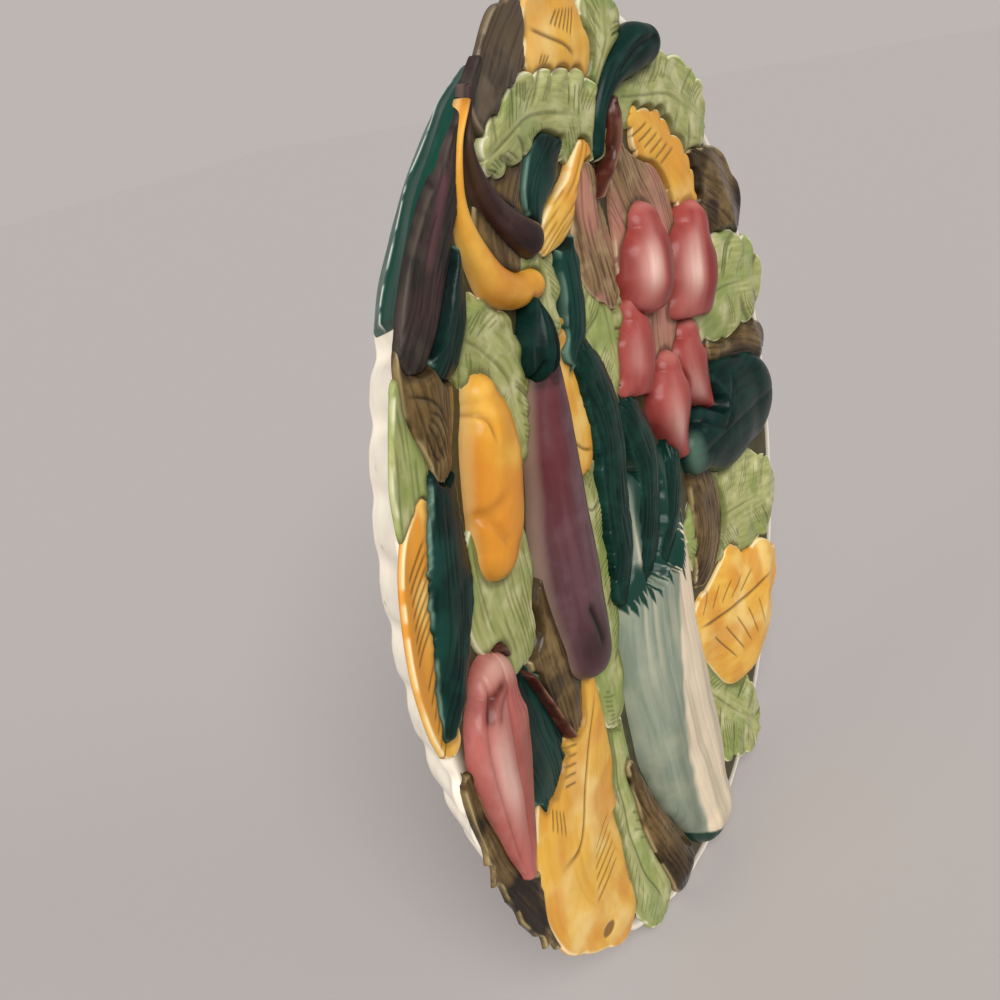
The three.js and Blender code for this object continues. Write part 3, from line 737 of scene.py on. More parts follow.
@dataclass
class RimLeaf:
    """The leaf that is draped over the lip and hangs down the rim's wall.

    Attributes:
        arc: degrees round the oval, from +X towards +Z.
        thickness: how far it stands off, mm.
        drop: how far it hangs down behind the lip at its lower end.
        hold: how far it lies on the front.
        narrow: share of the drop left at its upper end.
        crease: how far below the lip it folds.
        crease_width: width of the ridge along that fold.
        crease_glint_width: width of the painted highlight along that ridge.
        fold: height of its soft folds.
        seat: how far its edge dips into the dish.
        length: its length round the lip, for the brush strokes.
        ends: shares of the arc where its first end is full and where its last end begins to thin.
        turn: distance before and after the lip over which it turns from the front to the wall.
        rows: points along the arc.
        columns: points from the front round to its lowest edge.
    """

    arc: tuple[float, float] = (107.0, 143.0)
    thickness: float = 2.8
    drop: float = 21.0
    hold: float = 3.0
    narrow: float = 0.95
    crease: float = 12.0
    crease_width: float = 2.2
    crease_glint_width: float = 0.6
    fold: float = 0.5
    seat: float = 0.8
    length: float = 110.0
    ends: tuple[float, float] = (0.12, 0.985)
    turn: float = 1.6
    rows: int = 220
    columns: int = 60

    def surface(self, dish: Dish) -> Surface:
        """Carries a strip over the lip: front, quarter turn and wall, thinning to nothing at its edges.

        Args:
            dish: the dish that carries it.

        Returns:
            The leaf's surface.
        """
        along = np.linspace(0, 1, self.rows)[:, None]
        share = np.linspace(0, 1, self.columns)[None, :]
        angle = np.radians(self.arc[0] + (self.arc[1] - self.arc[0]) * along)
        tip = between(0, *self.ends, 1.0, along)
        hold = self.hold * (0.8 + 0.4 * drift(along * 9, 2.0))
        taper = self.narrow + (1 - self.narrow) * along
        drop = self.drop * taper * (0.92 + 0.12 * drift(along * 7, 4.0))
        path = share * (hold + drop) - hold
        over = smoothstep(-self.turn, self.turn, path)
        wall = dish.lip_depth - dish.lip_round - dish.back_edge
        fallen = np.maximum(path - dish.lip_round, 0) / wall
        inset = np.where(path < 0, -path, dish.flare * fallen)
        x = (dish.half_width - inset) * np.cos(angle)
        z = (dish.half_height - inset) * np.sin(angle)
        depth = np.where(path < 0, dish.depth(x, z), dish.lip_depth - path)
        edge = np.sqrt(np.clip(1 - (2 * share - 1) ** 8, 0, 1)) * tip
        fold = self.fold * np.sin(along * 19 + share * 5) * np.sin(np.pi * share)
        bend = self.crease * (0.75 + 0.25 * along) + 1.6 * (drift(along * 14, 6.0) - 0.5)
        thick = self.thickness * edge * (0.8 + 0.45 * bell(path - bend, self.crease_width))
        proud = thick + fold * edge - self.seat
        out_x, out_z = np.cos(angle) * over, np.sin(angle) * over
        points = np.stack([x + proud * out_x, depth + proud * (1 - over), z + proud * out_z], -1)
        quads, triangles = tube_faces(self.rows, self.columns)
        poles = points[[0, -1]].mean(1)
        # Painted highlight: a broken pale line along the crease; the lowest edge gets a little thin glaze.
        crease = bell(path - bend, self.crease_glint_width) * smoothstep(0.2, 0.6, drift(along * 40, 6.0))
        line = np.zeros_like(path)
        wash = smoothstep(0.5, -1.5, path - bend)
        brim_and_highlight = np.clip(crease * 0.95 + smoothstep(0.97, 1.0, share) * 0.4, 0, 1)
        paint = np.stack(np.broadcast_arrays(line, wash, brim_and_highlight, line), -1).reshape(-1, 4)
        run = np.stack(np.broadcast_arrays(along * self.length, path), -1).reshape(-1, 2)
        return Surface(np.vstack([points.reshape(-1, 3), poles]), quads, triangles,
                       np.vstack([run, np.zeros((2, 2))]), np.vstack([paint, np.zeros((2, 4))]))


def spline(knots: Array, share: Array) -> tuple[Array, Array]:
    """Uniform Catmull-Rom curve through its knots, with its end points reflected.

    Args:
        knots: the points, one row each.
        share: places along the curve, 0 to 1.

    Returns:
        The points on the curve and their derivatives.
    """
    ends = np.vstack([2 * knots[0] - knots[1], knots, 2 * knots[-1] - knots[-2]])
    place = share * (len(knots) - 1)
    first = np.minimum(place.astype(int), len(knots) - 2)
    t = (place - first)[:, None]
    before, start, end, after = (ends[first + step] for step in range(4))
    leave, arrive = (end - before) / 2, (after - start) / 2
    cubic = 2 * start - 2 * end + leave + arrive
    square = 3 * end - 3 * start - 2 * leave - arrive
    return ((cubic * t + square) * t + leave) * t + start, (3 * cubic * t + 2 * square) * t + leave


@dataclass(frozen=True)
class Score:
    """Engraved lines: one curve, or a row of them from a first to a last.

    Attributes:
        path: points of the first line, x and z in mm.
        to: points of the last line, as many; none where there is one line only.
        count: number of lines.
        width: half width of a line, mm.
        depth: how deep it is cut; below 0 it is a raised welt.
        ink: how much pigment lies in it.
        stain: how much of the pooled colour lies in it.
        wash: how much of the second colour lies on it.
    """

    path: tuple[tuple[float, float], ...]
    to: tuple[tuple[float, float], ...] = ()
    count: int = 1
    width: float = 0.5
    depth: float = 0.5
    ink: float = 0.85
    stain: float = 0.0
    wash: float = 0.0

    def strength(self, x: Array, z: Array) -> Array:
        """Nearness to the lines: a bell of the distance, tapered towards both ends of a line.

        Args:
            x: places across, mm.
            z: places upwards.

        Returns:
            The strength, 0 to 1.
        """
        first, last = np.array(self.path, float), np.array(self.to or self.path, float)
        pieces = 8 * (len(first) - 1)
        best = np.zeros_like(x)
        for share in np.linspace(0, 1, self.count):
            line, _ = spline(first + (last - first) * share, np.linspace(0, 1, pieces + 1))
            for number, (start, end) in enumerate(zip(line[:-1], line[1:])):
                distance, run = to_segment(x, z, start, end)
                place = (number + run) / pieces
                best = np.maximum(best, bell(distance, self.width) * between(0, 0.15, 0.8, 1, place))
        return best


class Margin(Enum):
    """How a leaf's outline is cut."""

    PLAIN = auto()
    SCALLOPED = auto()
    TOOTHED = auto()
    RAGGED = auto()


class Veins(Enum):
    """How a leaf's face is engraved."""

    NONE = auto()
    HATCHED = auto()
    FRILLED = auto()
    STREAKED = auto()


@dataclass
class Patch:
    """Places of a sprig's front on a grid: rows along its spine, columns across it.

    Attributes:
        x: place across the platter, mm.
        z: place upwards.
        along: distance along the spine from the first tip.
        share: the same as a share of the sprig's length.
        across: signed distance from the spine.
        side: signed share of the half width, -1 to 1.
        reach: 0 on the spine to 1 at the outline.
        rim: distance run along the outline from the first tip.
        half: half width of the sprig at the row, before the round end narrows it.
        swell: half width as a share of the widest.
    """

    x: Array
    z: Array
    along: Array
    share: Array
    across: Array
    side: Array
    reach: Array
    rim: Array
    half: Array
    swell: Array


@dataclass
class Paint:
    """Channels of a sprig's paint, 0 to 1: engraved line, wash, thin glaze on edges with some painted
    highlights, and pooled glaze with painted shade.
    """

    line: Array
    wash: Array
    brim_and_highlight: Array
    pool: Array


class Outline:
    """Signed distance from a sprig's outline on a square raster, positive inside, in mm.

    Attributes:
        CELL: side of the raster's cells.
        PAD: border of the raster round the outline.
        DIVE: how fast a lower sprig falls away under this one.
        LEAST: height that a pressed sprig keeps.
        BLEND: rounding where a sprig begins to be pressed.
        POOL_SHADE: width of the pooled glaze and painted shade beside the outline.
        POOL_SHADE_END: distance past which no glaze pools and no shade is painted.
    """

    CELL = 1.0
    PAD = 7.0
    DIVE = 1.6
    LEAST = 0.4
    BLEND = 0.6
    POOL_SHADE = 1.3
    POOL_SHADE_END = 6.0

    def __init__(self, polygon: Array, sprig: "Sprig") -> None:
        """Works out the raster: the distance to the nearest side, signed by counting crossings.

        Args:
            polygon: the outline's corners in order, x and z.
            sprig: the sprig that it bounds.
        """
        self.sprig = sprig
        self.low = polygon.min(0) - self.PAD
        size = np.ceil((polygon.max(0) + self.PAD - self.low) / self.CELL).astype(int) + 1
        self.high = self.low + (size - 1) * self.CELL
        axes = (self.low[axis] + np.arange(size[axis]) * self.CELL for axis in (0, 1))
        x, z = np.meshgrid(*axes, indexing="ij")
        nearest = np.full(x.shape, np.inf)
        inside = np.zeros(x.shape, bool)
        for start, end in zip(polygon, np.roll(polygon, -1, 0)):
            distance, _ = to_segment(x, z, start, end)
            nearest = np.minimum(nearest, distance)
            if start[1] != end[1]:
                side = end - start
                crossing = start[0] + side[0] * (z - start[1]) / side[1]
                inside ^= ((start[1] > z) != (end[1] > z)) & (x < crossing)
        self.raster = np.where(inside, nearest, -nearest)

    def distance(self, x: Array, z: Array) -> Array:
        """Reads the raster between its cells, with the padding's distance outside it.

        Args:
            x: places across, mm.
            z: places upwards.

        Returns:
            The signed distance at each place.
        """
        column = np.clip((x - self.low[0]) / self.CELL, 0, self.raster.shape[0] - 1.001)
        row = np.clip((z - self.low[1]) / self.CELL, 0, self.raster.shape[1] - 1.001)
        i, j = column.astype(int), row.astype(int)
        a, b = column - i, row - j
        grid = self.raster
        low = grid[i, j] * (1 - a) + grid[i + 1, j] * a
        high = grid[i, j + 1] * (1 - a) + grid[i + 1, j + 1] * a
        beyond = (x < self.low[0]) | (x > self.high[0]) | (z < self.low[1]) | (z > self.high[1])
        return np.where(beyond, -self.PAD, low * (1 - b) + high * b)

    def press(self, patch: Patch, height: Array, paint: Paint, inset: Array) -> Array:
        """Presses a lower sprig down where this one lies on it, and pools its glaze along the edge with
        painted shade.

        Args:
            patch: places of the lower sprig.
            height: its heights above the dish.
            paint: its paint, whose pool grows.
            inset: its distances in from the lip of the dish.

        Returns:
            The pressed heights.
        """
        if (patch.x.max() < self.low[0] or patch.x.min() > self.high[0]
                or patch.z.max() < self.low[1] or patch.z.min() > self.high[1]):
            return height
        inside = self.distance(patch.x, patch.z)
        lip = self.sprig.lip() * self.sprig.thinned(inset)
        allowed = lip - np.where(inside < 0, self.sprig.slope, self.DIVE) * inside
        # Pooled glaze and painted shade on the lower sprig, beside this one's outline.
        near = bell(np.minimum(inside + 0.2, 0), self.POOL_SHADE) * (inside > -self.POOL_SHADE_END)
        paint.pool = np.maximum(paint.pool, self.sprig.pooling_and_shade * near)
        paint.line = paint.line * (1 - 0.7 * self.sprig.pooling_and_shade * near)
        return smooth_min(height, np.maximum(allowed, self.LEAST), self.BLEND)


@dataclass
class Sprig:
    """A moulded piece of relief on a curved spine, with round or ragged ends.

    Attributes:
        name: the node that it replaces.
        glaze: its finish.
        edge: height above the dish at its outline, mm.
        crown: what its middle adds.
        stations: x, z and half width along the spine.
        margin: how its outline is cut.
        veins: how its face is engraved.
        scores: lines that are engraved one by one or in rows.
        comb: length of the ragged strokes at the first and last end; none leaves the end round.
        spread: what is added to the half width to tuck the sprig under its neighbours.
        slope: how fast lower sprigs rise beside this one.
        pooling_and_shade: how much glaze pools round it, with painted shade, on the sprigs below its
            outline.
        lobe: length of a scallop of the margin, mm.
        wander: how far the outline strays, mm.
        rim_share: share of its height that is left on the lip.
        step: spacing of the grid's points.
        seat: how far its edge dips into the dish.
        fall: how fast the crown follows the width towards the ends.
        seed: picks its noises.
        UNEVEN: height of the unevenness that pressing leaves, mm.
        UNEVEN_SIZE: size of its swells, mm.
        SWELL_SPAN: length over which changes of the width are smoothed, mm.
        CORNERS: fewest corners left when the outline is thinned for pressing lower sprigs.
        STROKE_SHIFT: how far each seed moves the brush strokes along and across, mm.
        SPIKES: number of ragged strokes in each mm of an end's width.
        SCALLOP: depth of a scallop, mm.
        TOOTH: length of the longest tooth, mm.
        TOOTH_SPACING: distance from one tooth to the next, mm.
        TEAR: depth of a ragged margin's tears, mm.
        TEAR_SPACING: distance from one tear to the next, mm.
        THINNING: distances in from the lip between which the height grows to its full, mm.
        SEAT_POWER: power of the reach with which the edge dips into the dish.
        SIDE: share of the height that a lower sprig has to stay under at this one's side.
    """

    UNEVEN = 1.0
    UNEVEN_SIZE = 12
    SWELL_SPAN = 8
    CORNERS = 220
    STROKE_SHIFT = (211, 97)
    SPIKES = 0.24
    SCALLOP = 2.8
    TOOTH = 4.2
    TOOTH_SPACING = 12
    TEAR = 1.2
    TEAR_SPACING = 2.6
    THINNING = (-3, 15)
    SEAT_POWER = 14
    SIDE = 0.92

    name: str
    glaze: Glaze
    edge: float
    crown: float
    stations: Stations
    margin: Margin = Margin.PLAIN
    veins: Veins = Veins.NONE
    scores: tuple[Score, ...] = ()
    comb: tuple[float, float] = (0.0, 0.0)
    spread: float = 0.0
    slope: float = 3.0
    pooling_and_shade: float = 0.7
    lobe: float = 10.5
    wander: float = 1.2
    rim_share: float = 1.0
    step: float = 0.5
    seat: float = 0.9
    fall: float = 0.6
    seed: float = field(default=0.0, init=False)

    def end(self, half: float, comb: float, v: Array) -> tuple[Array, Array, Array, Array]:
        """Rows of one end, from the body outwards: a quarter turn, or ragged strokes.

        A round end is (sin a, v cos a) times the half width. In a combed end each column runs out by its
        own length: a triangle wave across, with a hashed height for each spike.

        Args:
            half: half width where the end begins, mm.
            comb: length of the longest stroke, or 0.
            v: places across, -1 to 1.

        Returns:
            For each row and column: mm ahead, share across, reach, and the sine of the quarter turn.
        """
        if comb:
            run = np.linspace(0, 1, max(6, int(1.5 * comb / self.step)) + 1)[1:, None]
            place = self.SPIKES * half * v + 7 * self.seed
            spike = 1 - 2 * np.abs(place % 1 - 0.5)
            own = 0.45 + 0.55 * hashed(np.floor(place), self.seed)
            length = comb * (0.2 + 0.8 * spike * own) * (1 - 0.4 * v ** 2)
            return run * length, v + 0 * run, (np.abs(v) ** 6 + run ** 6) ** (1 / 6), 0 * run * v
        angle = np.radians(np.linspace(0, 90, max(6, int(np.pi / 2 * half / self.step)) + 1)[1:-1, None])
        ahead = np.sin(angle) + 0 * v
        return half * ahead, np.cos(angle) * v, np.hypot(ahead, np.cos(angle) * v), ahead

    def patch(self) -> Patch:
        """Lays out the grid: rows along the spine, the two ends, and the margin's cuts.

        Returns:
            The grid's places.
        """
        knots = np.array(self.stations, float) + np.array([0, 0, self.spread])
        rough, _ = spline(knots, np.linspace(0, 1, 200))
        length = np.linalg.norm(np.diff(rough[:, :2], axis=0), axis=1).sum()
        widest = rough[:, 2].max()
        rows, columns = max(12, int(length / self.step)), max(15, int(2.2 * widest / self.step))
        body, heading = spline(knots, np.linspace(0, 1, rows))
        even = np.linspace(-1, 1, columns)[None, :]
        v = 0.5 * np.sin(even * np.pi / 2) + 0.5 * even
        tail = self.end(body[0, 2], self.comb[0], v)
        tip = self.end(body[-1, 2], self.comb[1], v)
        level = np.zeros((rows, columns))
        ahead = np.concatenate([-tail[0][::-1], level, tip[0]])
        wide = np.concatenate([tail[1][::-1], level + v, tip[1]])
        reach = np.minimum(1, np.concatenate([tail[2][::-1], np.abs(level + v), tip[2]]))
        turn = np.concatenate([-tail[3][::-1], level, tip[3]])
        pick = np.concatenate([
            np.zeros(len(tail[0]), int), np.arange(rows), np.full(len(tip[0]), rows - 1)])
        way = (heading[:, :2] / np.linalg.norm(heading[:, :2], axis=1)[:, None])[pick]
        steps = np.linalg.norm(np.diff(body[:, :2], axis=0), axis=1)
        travelled = np.concatenate([[0], np.cumsum(steps)])
        gone, half = travelled[pick][:, None], body[pick, 2][:, None]
        first, last = body[0, 2], body[-1, 2]
        window = np.hanning(2 * int(self.SWELL_SPAN / self.step) + 3)
        padded = np.pad(half[:, 0], len(window) // 2, mode="edge")
        swell = np.convolve(padded, window / window.sum(), "valid")[:, None] / widest
        bend = np.arctan2(np.abs(turn), np.abs(wide) + 1e-9) * (turn != 0)
        rim = first * np.pi / 2 + gone + np.where(turn < 0, -first, last) * bend
        factor = 1 + self.cut(rim, np.sign(wide), half, turn) * smoothstep(0.35, 1.0, reach)
        forward, across = ahead * factor, wide * half * factor
        x = body[pick, :1] + way[:, :1] * forward - way[:, 1:] * across
        z = body[pick, 1:2] + way[:, 1:] * forward + way[:, :1] * across
        along = first + gone + ahead
        return Patch(x, z, along, along / (first + travelled[-1] + last), across, wide, reach, rim,
                     half + 0 * wide, swell + 0 * wide)

    def cut(self, rim: Array, side: Array, half: Array, turn: Array) -> Array:
        """Share by which the margin moves the outline out or in.

        Slow noise, and with it a power of |sin| for scallops, a triangle wave with hashed heights for
        teeth, or two noises for tears.

        Args:
            rim: distance along the outline, mm.
            side: which side of the spine, -1 or 1.
            half: half width, mm.
            turn: -1 at the first tip, 0 along the spine, 1 at the last tip.

        Returns:
            The share of the half width at each place.
        """
        wander = 5 * drift(rim / 17 + 40 * side, self.seed)
        slow = drift(rim / 13 + 60 * side, self.seed + 2) - 0.5
        amount = self.wander * slow
        if self.margin is Margin.SCALLOPED:
            arch = np.abs(np.sin(np.pi * (rim + wander) / self.lobe))
            amount = amount + self.SCALLOP * (arch ** 0.6 - 0.8)
        elif self.margin is Margin.TOOTHED:
            place = (rim + 3 * wander) / self.TOOTH_SPACING + 9 * side
            tooth = 1 - 2 * np.abs(place % 1 - 0.5)
            amount = amount + self.TOOTH * tooth ** 1.5 * hashed(np.floor(place), self.seed) - 1.0
        elif self.margin is Margin.RAGGED:
            coarse = drift(rim / self.TEAR_SPACING + 90 * side, self.seed)
            fine = drift(2 * rim / self.TEAR_SPACING + 30 * side, self.seed + 1)
            amount = amount + self.TEAR * (coarse + 0.6 * fine - 0.9)
        return amount / np.maximum(half, 4)

    def heights(self, patch: Patch) -> Array:
        """Height of the front above the dish, before lines are worked in."""
        raise NotImplementedError

    def work(self, patch: Patch, height: Array) -> tuple[Array, Paint]:
        """Works lines and colour into the sprig. The plain one has none.

        Args:
            patch: the grid's places.
            height: heights before the work.

        Returns:
            The worked heights and the paint.
        """
        return height, Paint(*(np.zeros_like(height) for _ in range(4)))

    def lip(self) -> float:
        """Height of the sprig's side that a lower sprig has to stay under."""
        return self.SIDE * self.edge

    def thinned(self, inset: Array) -> Array:
        """Share of the height that is left near the lip: rim_share at the lip, rising to 1."""
        return self.rim_share + (1 - self.rim_share) * smoothstep(*self.THINNING, inset)

    def surface(self, dish: Dish, above: list[Outline]) -> tuple[Surface, Outline]:
        """Models the sprig on the dish, pressed down under those above it.

        Args:
            dish: the dish that carries it.
            above: outlines of the sprigs in front of it.

        Returns:
            The closed surface, and the sprig's own outline.
        """
        patch = self.patch()
        height, paint = self.work(patch, self.heights(patch))
        for score in self.scores:
            strength = score.strength(patch.x, patch.z)
            paint.line = np.maximum(paint.line, score.ink * strength * (score.wash == 0))
            paint.pool = np.maximum(paint.pool, score.stain * smoothstep(0.2, 0.5, strength))
            paint.wash = np.maximum(paint.wash, score.wash * strength)
            height = height - score.depth * strength
        swells = cloud(patch.x / self.UNEVEN_SIZE, patch.z / self.UNEVEN_SIZE, self.seed) - 0.5
        height = height + self.UNEVEN * swells * (1 - patch.reach ** 4)
        inset = dish.inset(patch.x, patch.z)
        height = height * self.thinned(inset)
        for outline in above:
            height = outline.press(patch, height, paint, inset)
        height = height - self.seat * patch.reach ** self.SEAT_POWER
        depth = dish.depth(patch.x, patch.z) + height
        rows, columns = depth.shape
        points = np.stack([patch.x, depth, patch.z], -1)
        poles = points[[0, -1]].mean(1)
        quads, triangles = tube_faces(rows, columns)
        along, across = (shift * self.seed for shift in self.STROKE_SHIFT)
        run = np.stack([patch.along + along, patch.across + across], -1)
        colour = np.stack([paint.line, paint.wash, paint.brim_and_highlight, paint.pool], -1)
        border = np.concatenate([points[:, 0], points[-1], points[::-1, -1], points[0, ::-1]])[:, [0, 2]]
        thin = max(1, len(border) // self.CORNERS)
        made = Surface(np.vstack([points.reshape(-1, 3), poles]), quads, triangles,
                       np.vstack([run.reshape(-1, 2), run[[0, -1], columns // 2]]),
                       np.vstack([colour.reshape(-1, 4), colour[[0, -1], columns // 2]]))
        return made, Outline(border[::thin], self)


@dataclass
class Leaf(Sprig):
    """A leaf: a flat-edged sprig with a low crown, a crisp edge and engraved veins.

    Attributes:
        roll: width of the rounded edge, mm.
        slant: how far the strokes lean for each mm across.
        second: how much of the second colour the leaf has.
        dark_end: strength of the second colour at the last end.
        PATCHES: size of the patches of second colour, mm.
        FURROWS: spacing of the lengthwise furrows, mm.
        SIDE_SHIFT: shift between the strokes of the two sides, mm, so that they differ.
        HATCH: spacing of the strokes beside a midrib, mm, and their number in a group.
        FINE: the same for the strokes on a frilled leaf's folds.
        LINE_WIDTH: width of such a stroke, mm.
        LEFT_OUT: share of the groups that is left out.
    """

    PATCHES = 12
    FURROWS = 2.3
    SIDE_SHIFT = 500
    HATCH = (4.6, 4.0)
    FINE = (2.3, 3.0)
    LINE_WIDTH = 0.4
    LEFT_OUT = 0.45

    spread: float = 1.2
    wander: float = 2.8
    rim_share: float = 0.3
    roll: float = 1.0
    slant: float = 0.8
    second: float = 0.7
    dark_end: float = 0.0

    def heights(self, patch: Patch) -> Array:
        """Edge plus crown (1 - r^2), rounded over the last millimetre to the outline."""
        body = self.edge + self.crown * (1 - patch.reach ** 2) * patch.swell ** self.fall
        width = np.minimum(self.roll, 0.4 * patch.half)
        inner = np.clip((1 - patch.reach) * patch.half / width, 0, 1)
        return body * np.sqrt(1 - (1 - inner) ** 2)

    def work(self, patch: Patch, height: Array) -> tuple[Array, Paint]:
        """Engraves the veins, with pigment in the lines and a wash in patches."""
        height, paint = super().work(patch, height)
        inner = (1 - patch.reach) * patch.half
        paint.brim_and_highlight = bell(inner - 0.9, 0.55) * smoothstep(0.15, 0.6, drift(patch.rim / 5, self.seed))
        carve = {Veins.HATCHED: self.hatched, Veins.FRILLED: self.frilled,
                 Veins.STREAKED: self.streaked}.get(self.veins)
        if carve:
            height = height + carve(patch, paint) * smoothstep(1.0, 0.92, patch.reach)
        patches = cloud(patch.x / self.PATCHES, patch.z / self.PATCHES, self.seed + 4)
        end = self.dark_end * smoothstep(0.55, 0.95, patch.share + 0.2 * (patches - 0.5))
        coat = self.second * smoothstep(0.5, 0.9, patches + 0.2 * patch.reach)
        paint.wash = np.maximum(coat, end)
        return height, paint

    def strokes(self, way: Array, span: Array, spacing: float, group: float, seed: float) -> Array:
        """Short engraved strokes in groups.

        Strokes lie at an even spacing across the way. Each has its own hashed start and end along the
        span, and whole groups are left out.

        Args:
            way: distance across the strokes, mm.
            span: place along a stroke, 0 to 1.
            spacing: distance between strokes, mm.
            group: strokes in a group.
            seed: picks the strokes.

        Returns:
            The strokes' strength, 0 to 1.
        """
        number = np.floor(way / spacing)
        keep = hashed(np.floor(number / group), seed) > self.LEFT_OUT
        start, end = 0.1 + 0.3 * hashed(number, seed + 1), 0.6 + 0.3 * hashed(number, seed + 2)
        inked = keep * between(start, start + 0.08, end - 0.1, end, span)
        return ruled(way, spacing, self.LINE_WIDTH) * inked

    def hatched(self, patch: Patch, paint: Paint) -> Array:
        """One engraved midrib that bows gently, and groups of strokes on both sides of it."""
        bow = 0.1 * patch.half * np.sin(np.pi * patch.share * 1.3 + self.seed)
        rib = bell(patch.across - bow, 0.55) * between(0.03, 0.1, 0.84, 0.93, patch.share)
        way = patch.along - 0.75 * np.abs(patch.across) + self.SIDE_SHIFT * (patch.across > 0)
        hatch = self.strokes(way, np.abs(patch.side), *self.HATCH, seed=self.seed + 5)
        paint.line = np.maximum(0.8 * rib, 0.75 * hatch)
        return -0.8 * bell(patch.across - bow, 4.0) - 0.4 * rib - 0.35 * hatch

    def frilled(self, patch: Patch, paint: Paint) -> Array:
        """Soft folds that run out from the spine to the scallops, with groups of fine strokes on them."""
        span = np.abs(patch.side)
        stray = cloud(patch.x / 15, patch.z / 15, self.seed + 3) - 0.5
        bent = patch.along - self.slant * np.abs(patch.across) + 5 * stray
        fold = np.sin(2 * np.pi * bent / self.lobe)
        number = np.floor(bent / self.lobe) + 50 * (patch.across > 0)
        broken = smoothstep(0.35, 0.6, hashed(number, self.seed + 1))
        way = bent + self.SIDE_SHIFT * (patch.across > 0)
        fine = self.strokes(way, span, *self.FINE, seed=self.seed + 7)
        crease = smoothstep(-0.8, -0.98, fold) * broken * smoothstep(0.12, 0.35, span)
        rib = bell(patch.across, 0.6) * between(0.02, 0.1, 0.5, 0.8, patch.share)
        paint.line = np.clip(0.7 * fine + 0.5 * crease + 0.5 * rib, 0, 1)
        return 0.6 * fold * smoothstep(0.25, 0.8, patch.reach) - 0.3 * fine - 0.4 * crease - 0.5 * rib

    def streaked(self, patch: Patch, paint: Paint) -> Array:
        """Long shallow furrows along the leaf, as a stiff brush or a comb leaves them."""
        way = patch.across + 2.5 * (cloud(patch.along / 21, patch.across / 6, self.seed) - 0.5)
        number = np.floor(way / self.FURROWS)
        broken = smoothstep(0.4, 0.65, drift(patch.along / 16 + 7 * number, self.seed))
        furrow = ruled(way, self.FURROWS, 0.5) * broken * smoothstep(1.0, 0.9, patch.reach)
        paint.line = 0.5 * furrow
        return -0.35 * furrow + 0.3 * drift(way / 2.9, self.seed + 6)


@dataclass
class StreakedLeaf(Leaf):
    """A leaf with furrows along it, as a stiff brush leaves them."""

    veins: Veins = Veins.STREAKED


@dataclass
class EvenLeaf(StreakedLeaf):
    """A streaked leaf whose outline hardly strays."""

    wander: float = 1.5


@dataclass
class FrilledLeaf(Leaf):
    """A lettuce leaf: scalloped at its edge, with soft folds that run out to the scallops."""

    margin: Margin = Margin.SCALLOPED
    veins: Veins = Veins.FRILLED


class BrushedGreen:
    """The dark green that was brushed over the leek's leaves and ends in ragged strokes on its shaft.

    Attributes:
        EDGE: line past which the strokes run out, x and z in mm.
        SLIVER: where the pale leaf shows between two blades.
        STROKE: width of a stroke, mm.
        LEAN: how far the strokes lean for each mm upwards.
        POINT: how far one stroke can end past another, and twice the length of its point, mm.
        PAST: how far the strokes run past the line, mm, before their own lengths count.
    """

    EDGE = ((-29, -34), (-8.5, -30.5), (1, -31), (17, -35), (24, -30.5), (36.5, -16), (44, -4))
    SLIVER = Score(((-2, 19), (-3, 11), (-6.5, -1), (-12, -17), (-14, -23)), width=2.2)
    STROKE = 2.6
    LEAN = 0.12
    POINT = 9
    PAST = 4

    @classmethod
    def strength(cls, x: Array, z: Array) -> Array:
        """Full above the brushed edge; each stroke ends in a point at its own hashed height.

        Args:
            x: places across, mm.
            z: places upwards.

        Returns:
            The strength, 0 to 1.
        """
        edge = np.interp(x, *np.array(cls.EDGE, float).T)
        lane = (x + cls.LEAN * z) / cls.STROKE
        point = np.abs(lane % 1 - 0.5) * cls.POINT
        end = edge + point - cls.PAST - cls.POINT * hashed(np.floor(lane), 2.0)
        bare = np.minimum(1, 1.4 * cls.SLIVER.strength(x, z))
        return smoothstep(-0.6, 1.2, z - end) * (1 - bare)


@dataclass
class Blade(StreakedLeaf):
    """A leek's green blade: brushed dark over the pale leaf, ragged at its sides and spiked at its end."""

    margin: Margin = Margin.RAGGED
    comb: tuple[float, float] = (0.0, 15.0)
    pooling_and_shade: float = 0.0
    wander: float = 1.0

    def lip(self) -> float:
        """Height of the blade's side that the shaft below has to stay under."""
        return self.edge + self.crown

    def work(self, patch: Patch, height: Array) -> tuple[Array, Paint]:
        """Leaves the pale leaf bare past the brush strokes, and thins the spikes."""
        height, paint = super().work(patch, height)
        paint.wash = 1 - BrushedGreen.strength(patch.x, patch.z)
        paint.brim_and_highlight = 0.3 * paint.brim_and_highlight
        paint.line = 0.5 * paint.line * (1 - paint.wash)
        return height * (0.75 + 0.25 * smoothstep(1.02, 0.85, patch.share)), paint


@dataclass
class Fruit(Sprig):
    """A round vegetable: its section is a superellipse from the dish up over its crown.

    Attributes:
        power: exponent of the superellipse.
    """

    SIDE = 0.52

    power: float = 2.3

    def heights(self, patch: Patch) -> Array:
        """(edge + crown) (1 - r^p)^(1/p), lower where the sprig is narrower."""
        top = self.edge + self.crown * patch.swell ** self.fall
        return top * np.clip(1 - patch.reach ** self.power, 0, 1) ** (1 / self.power)

    def lip(self) -> float:
        """Height of the round side that a lower sprig has to stay under."""
        return self.SIDE * (self.edge + self.crown)


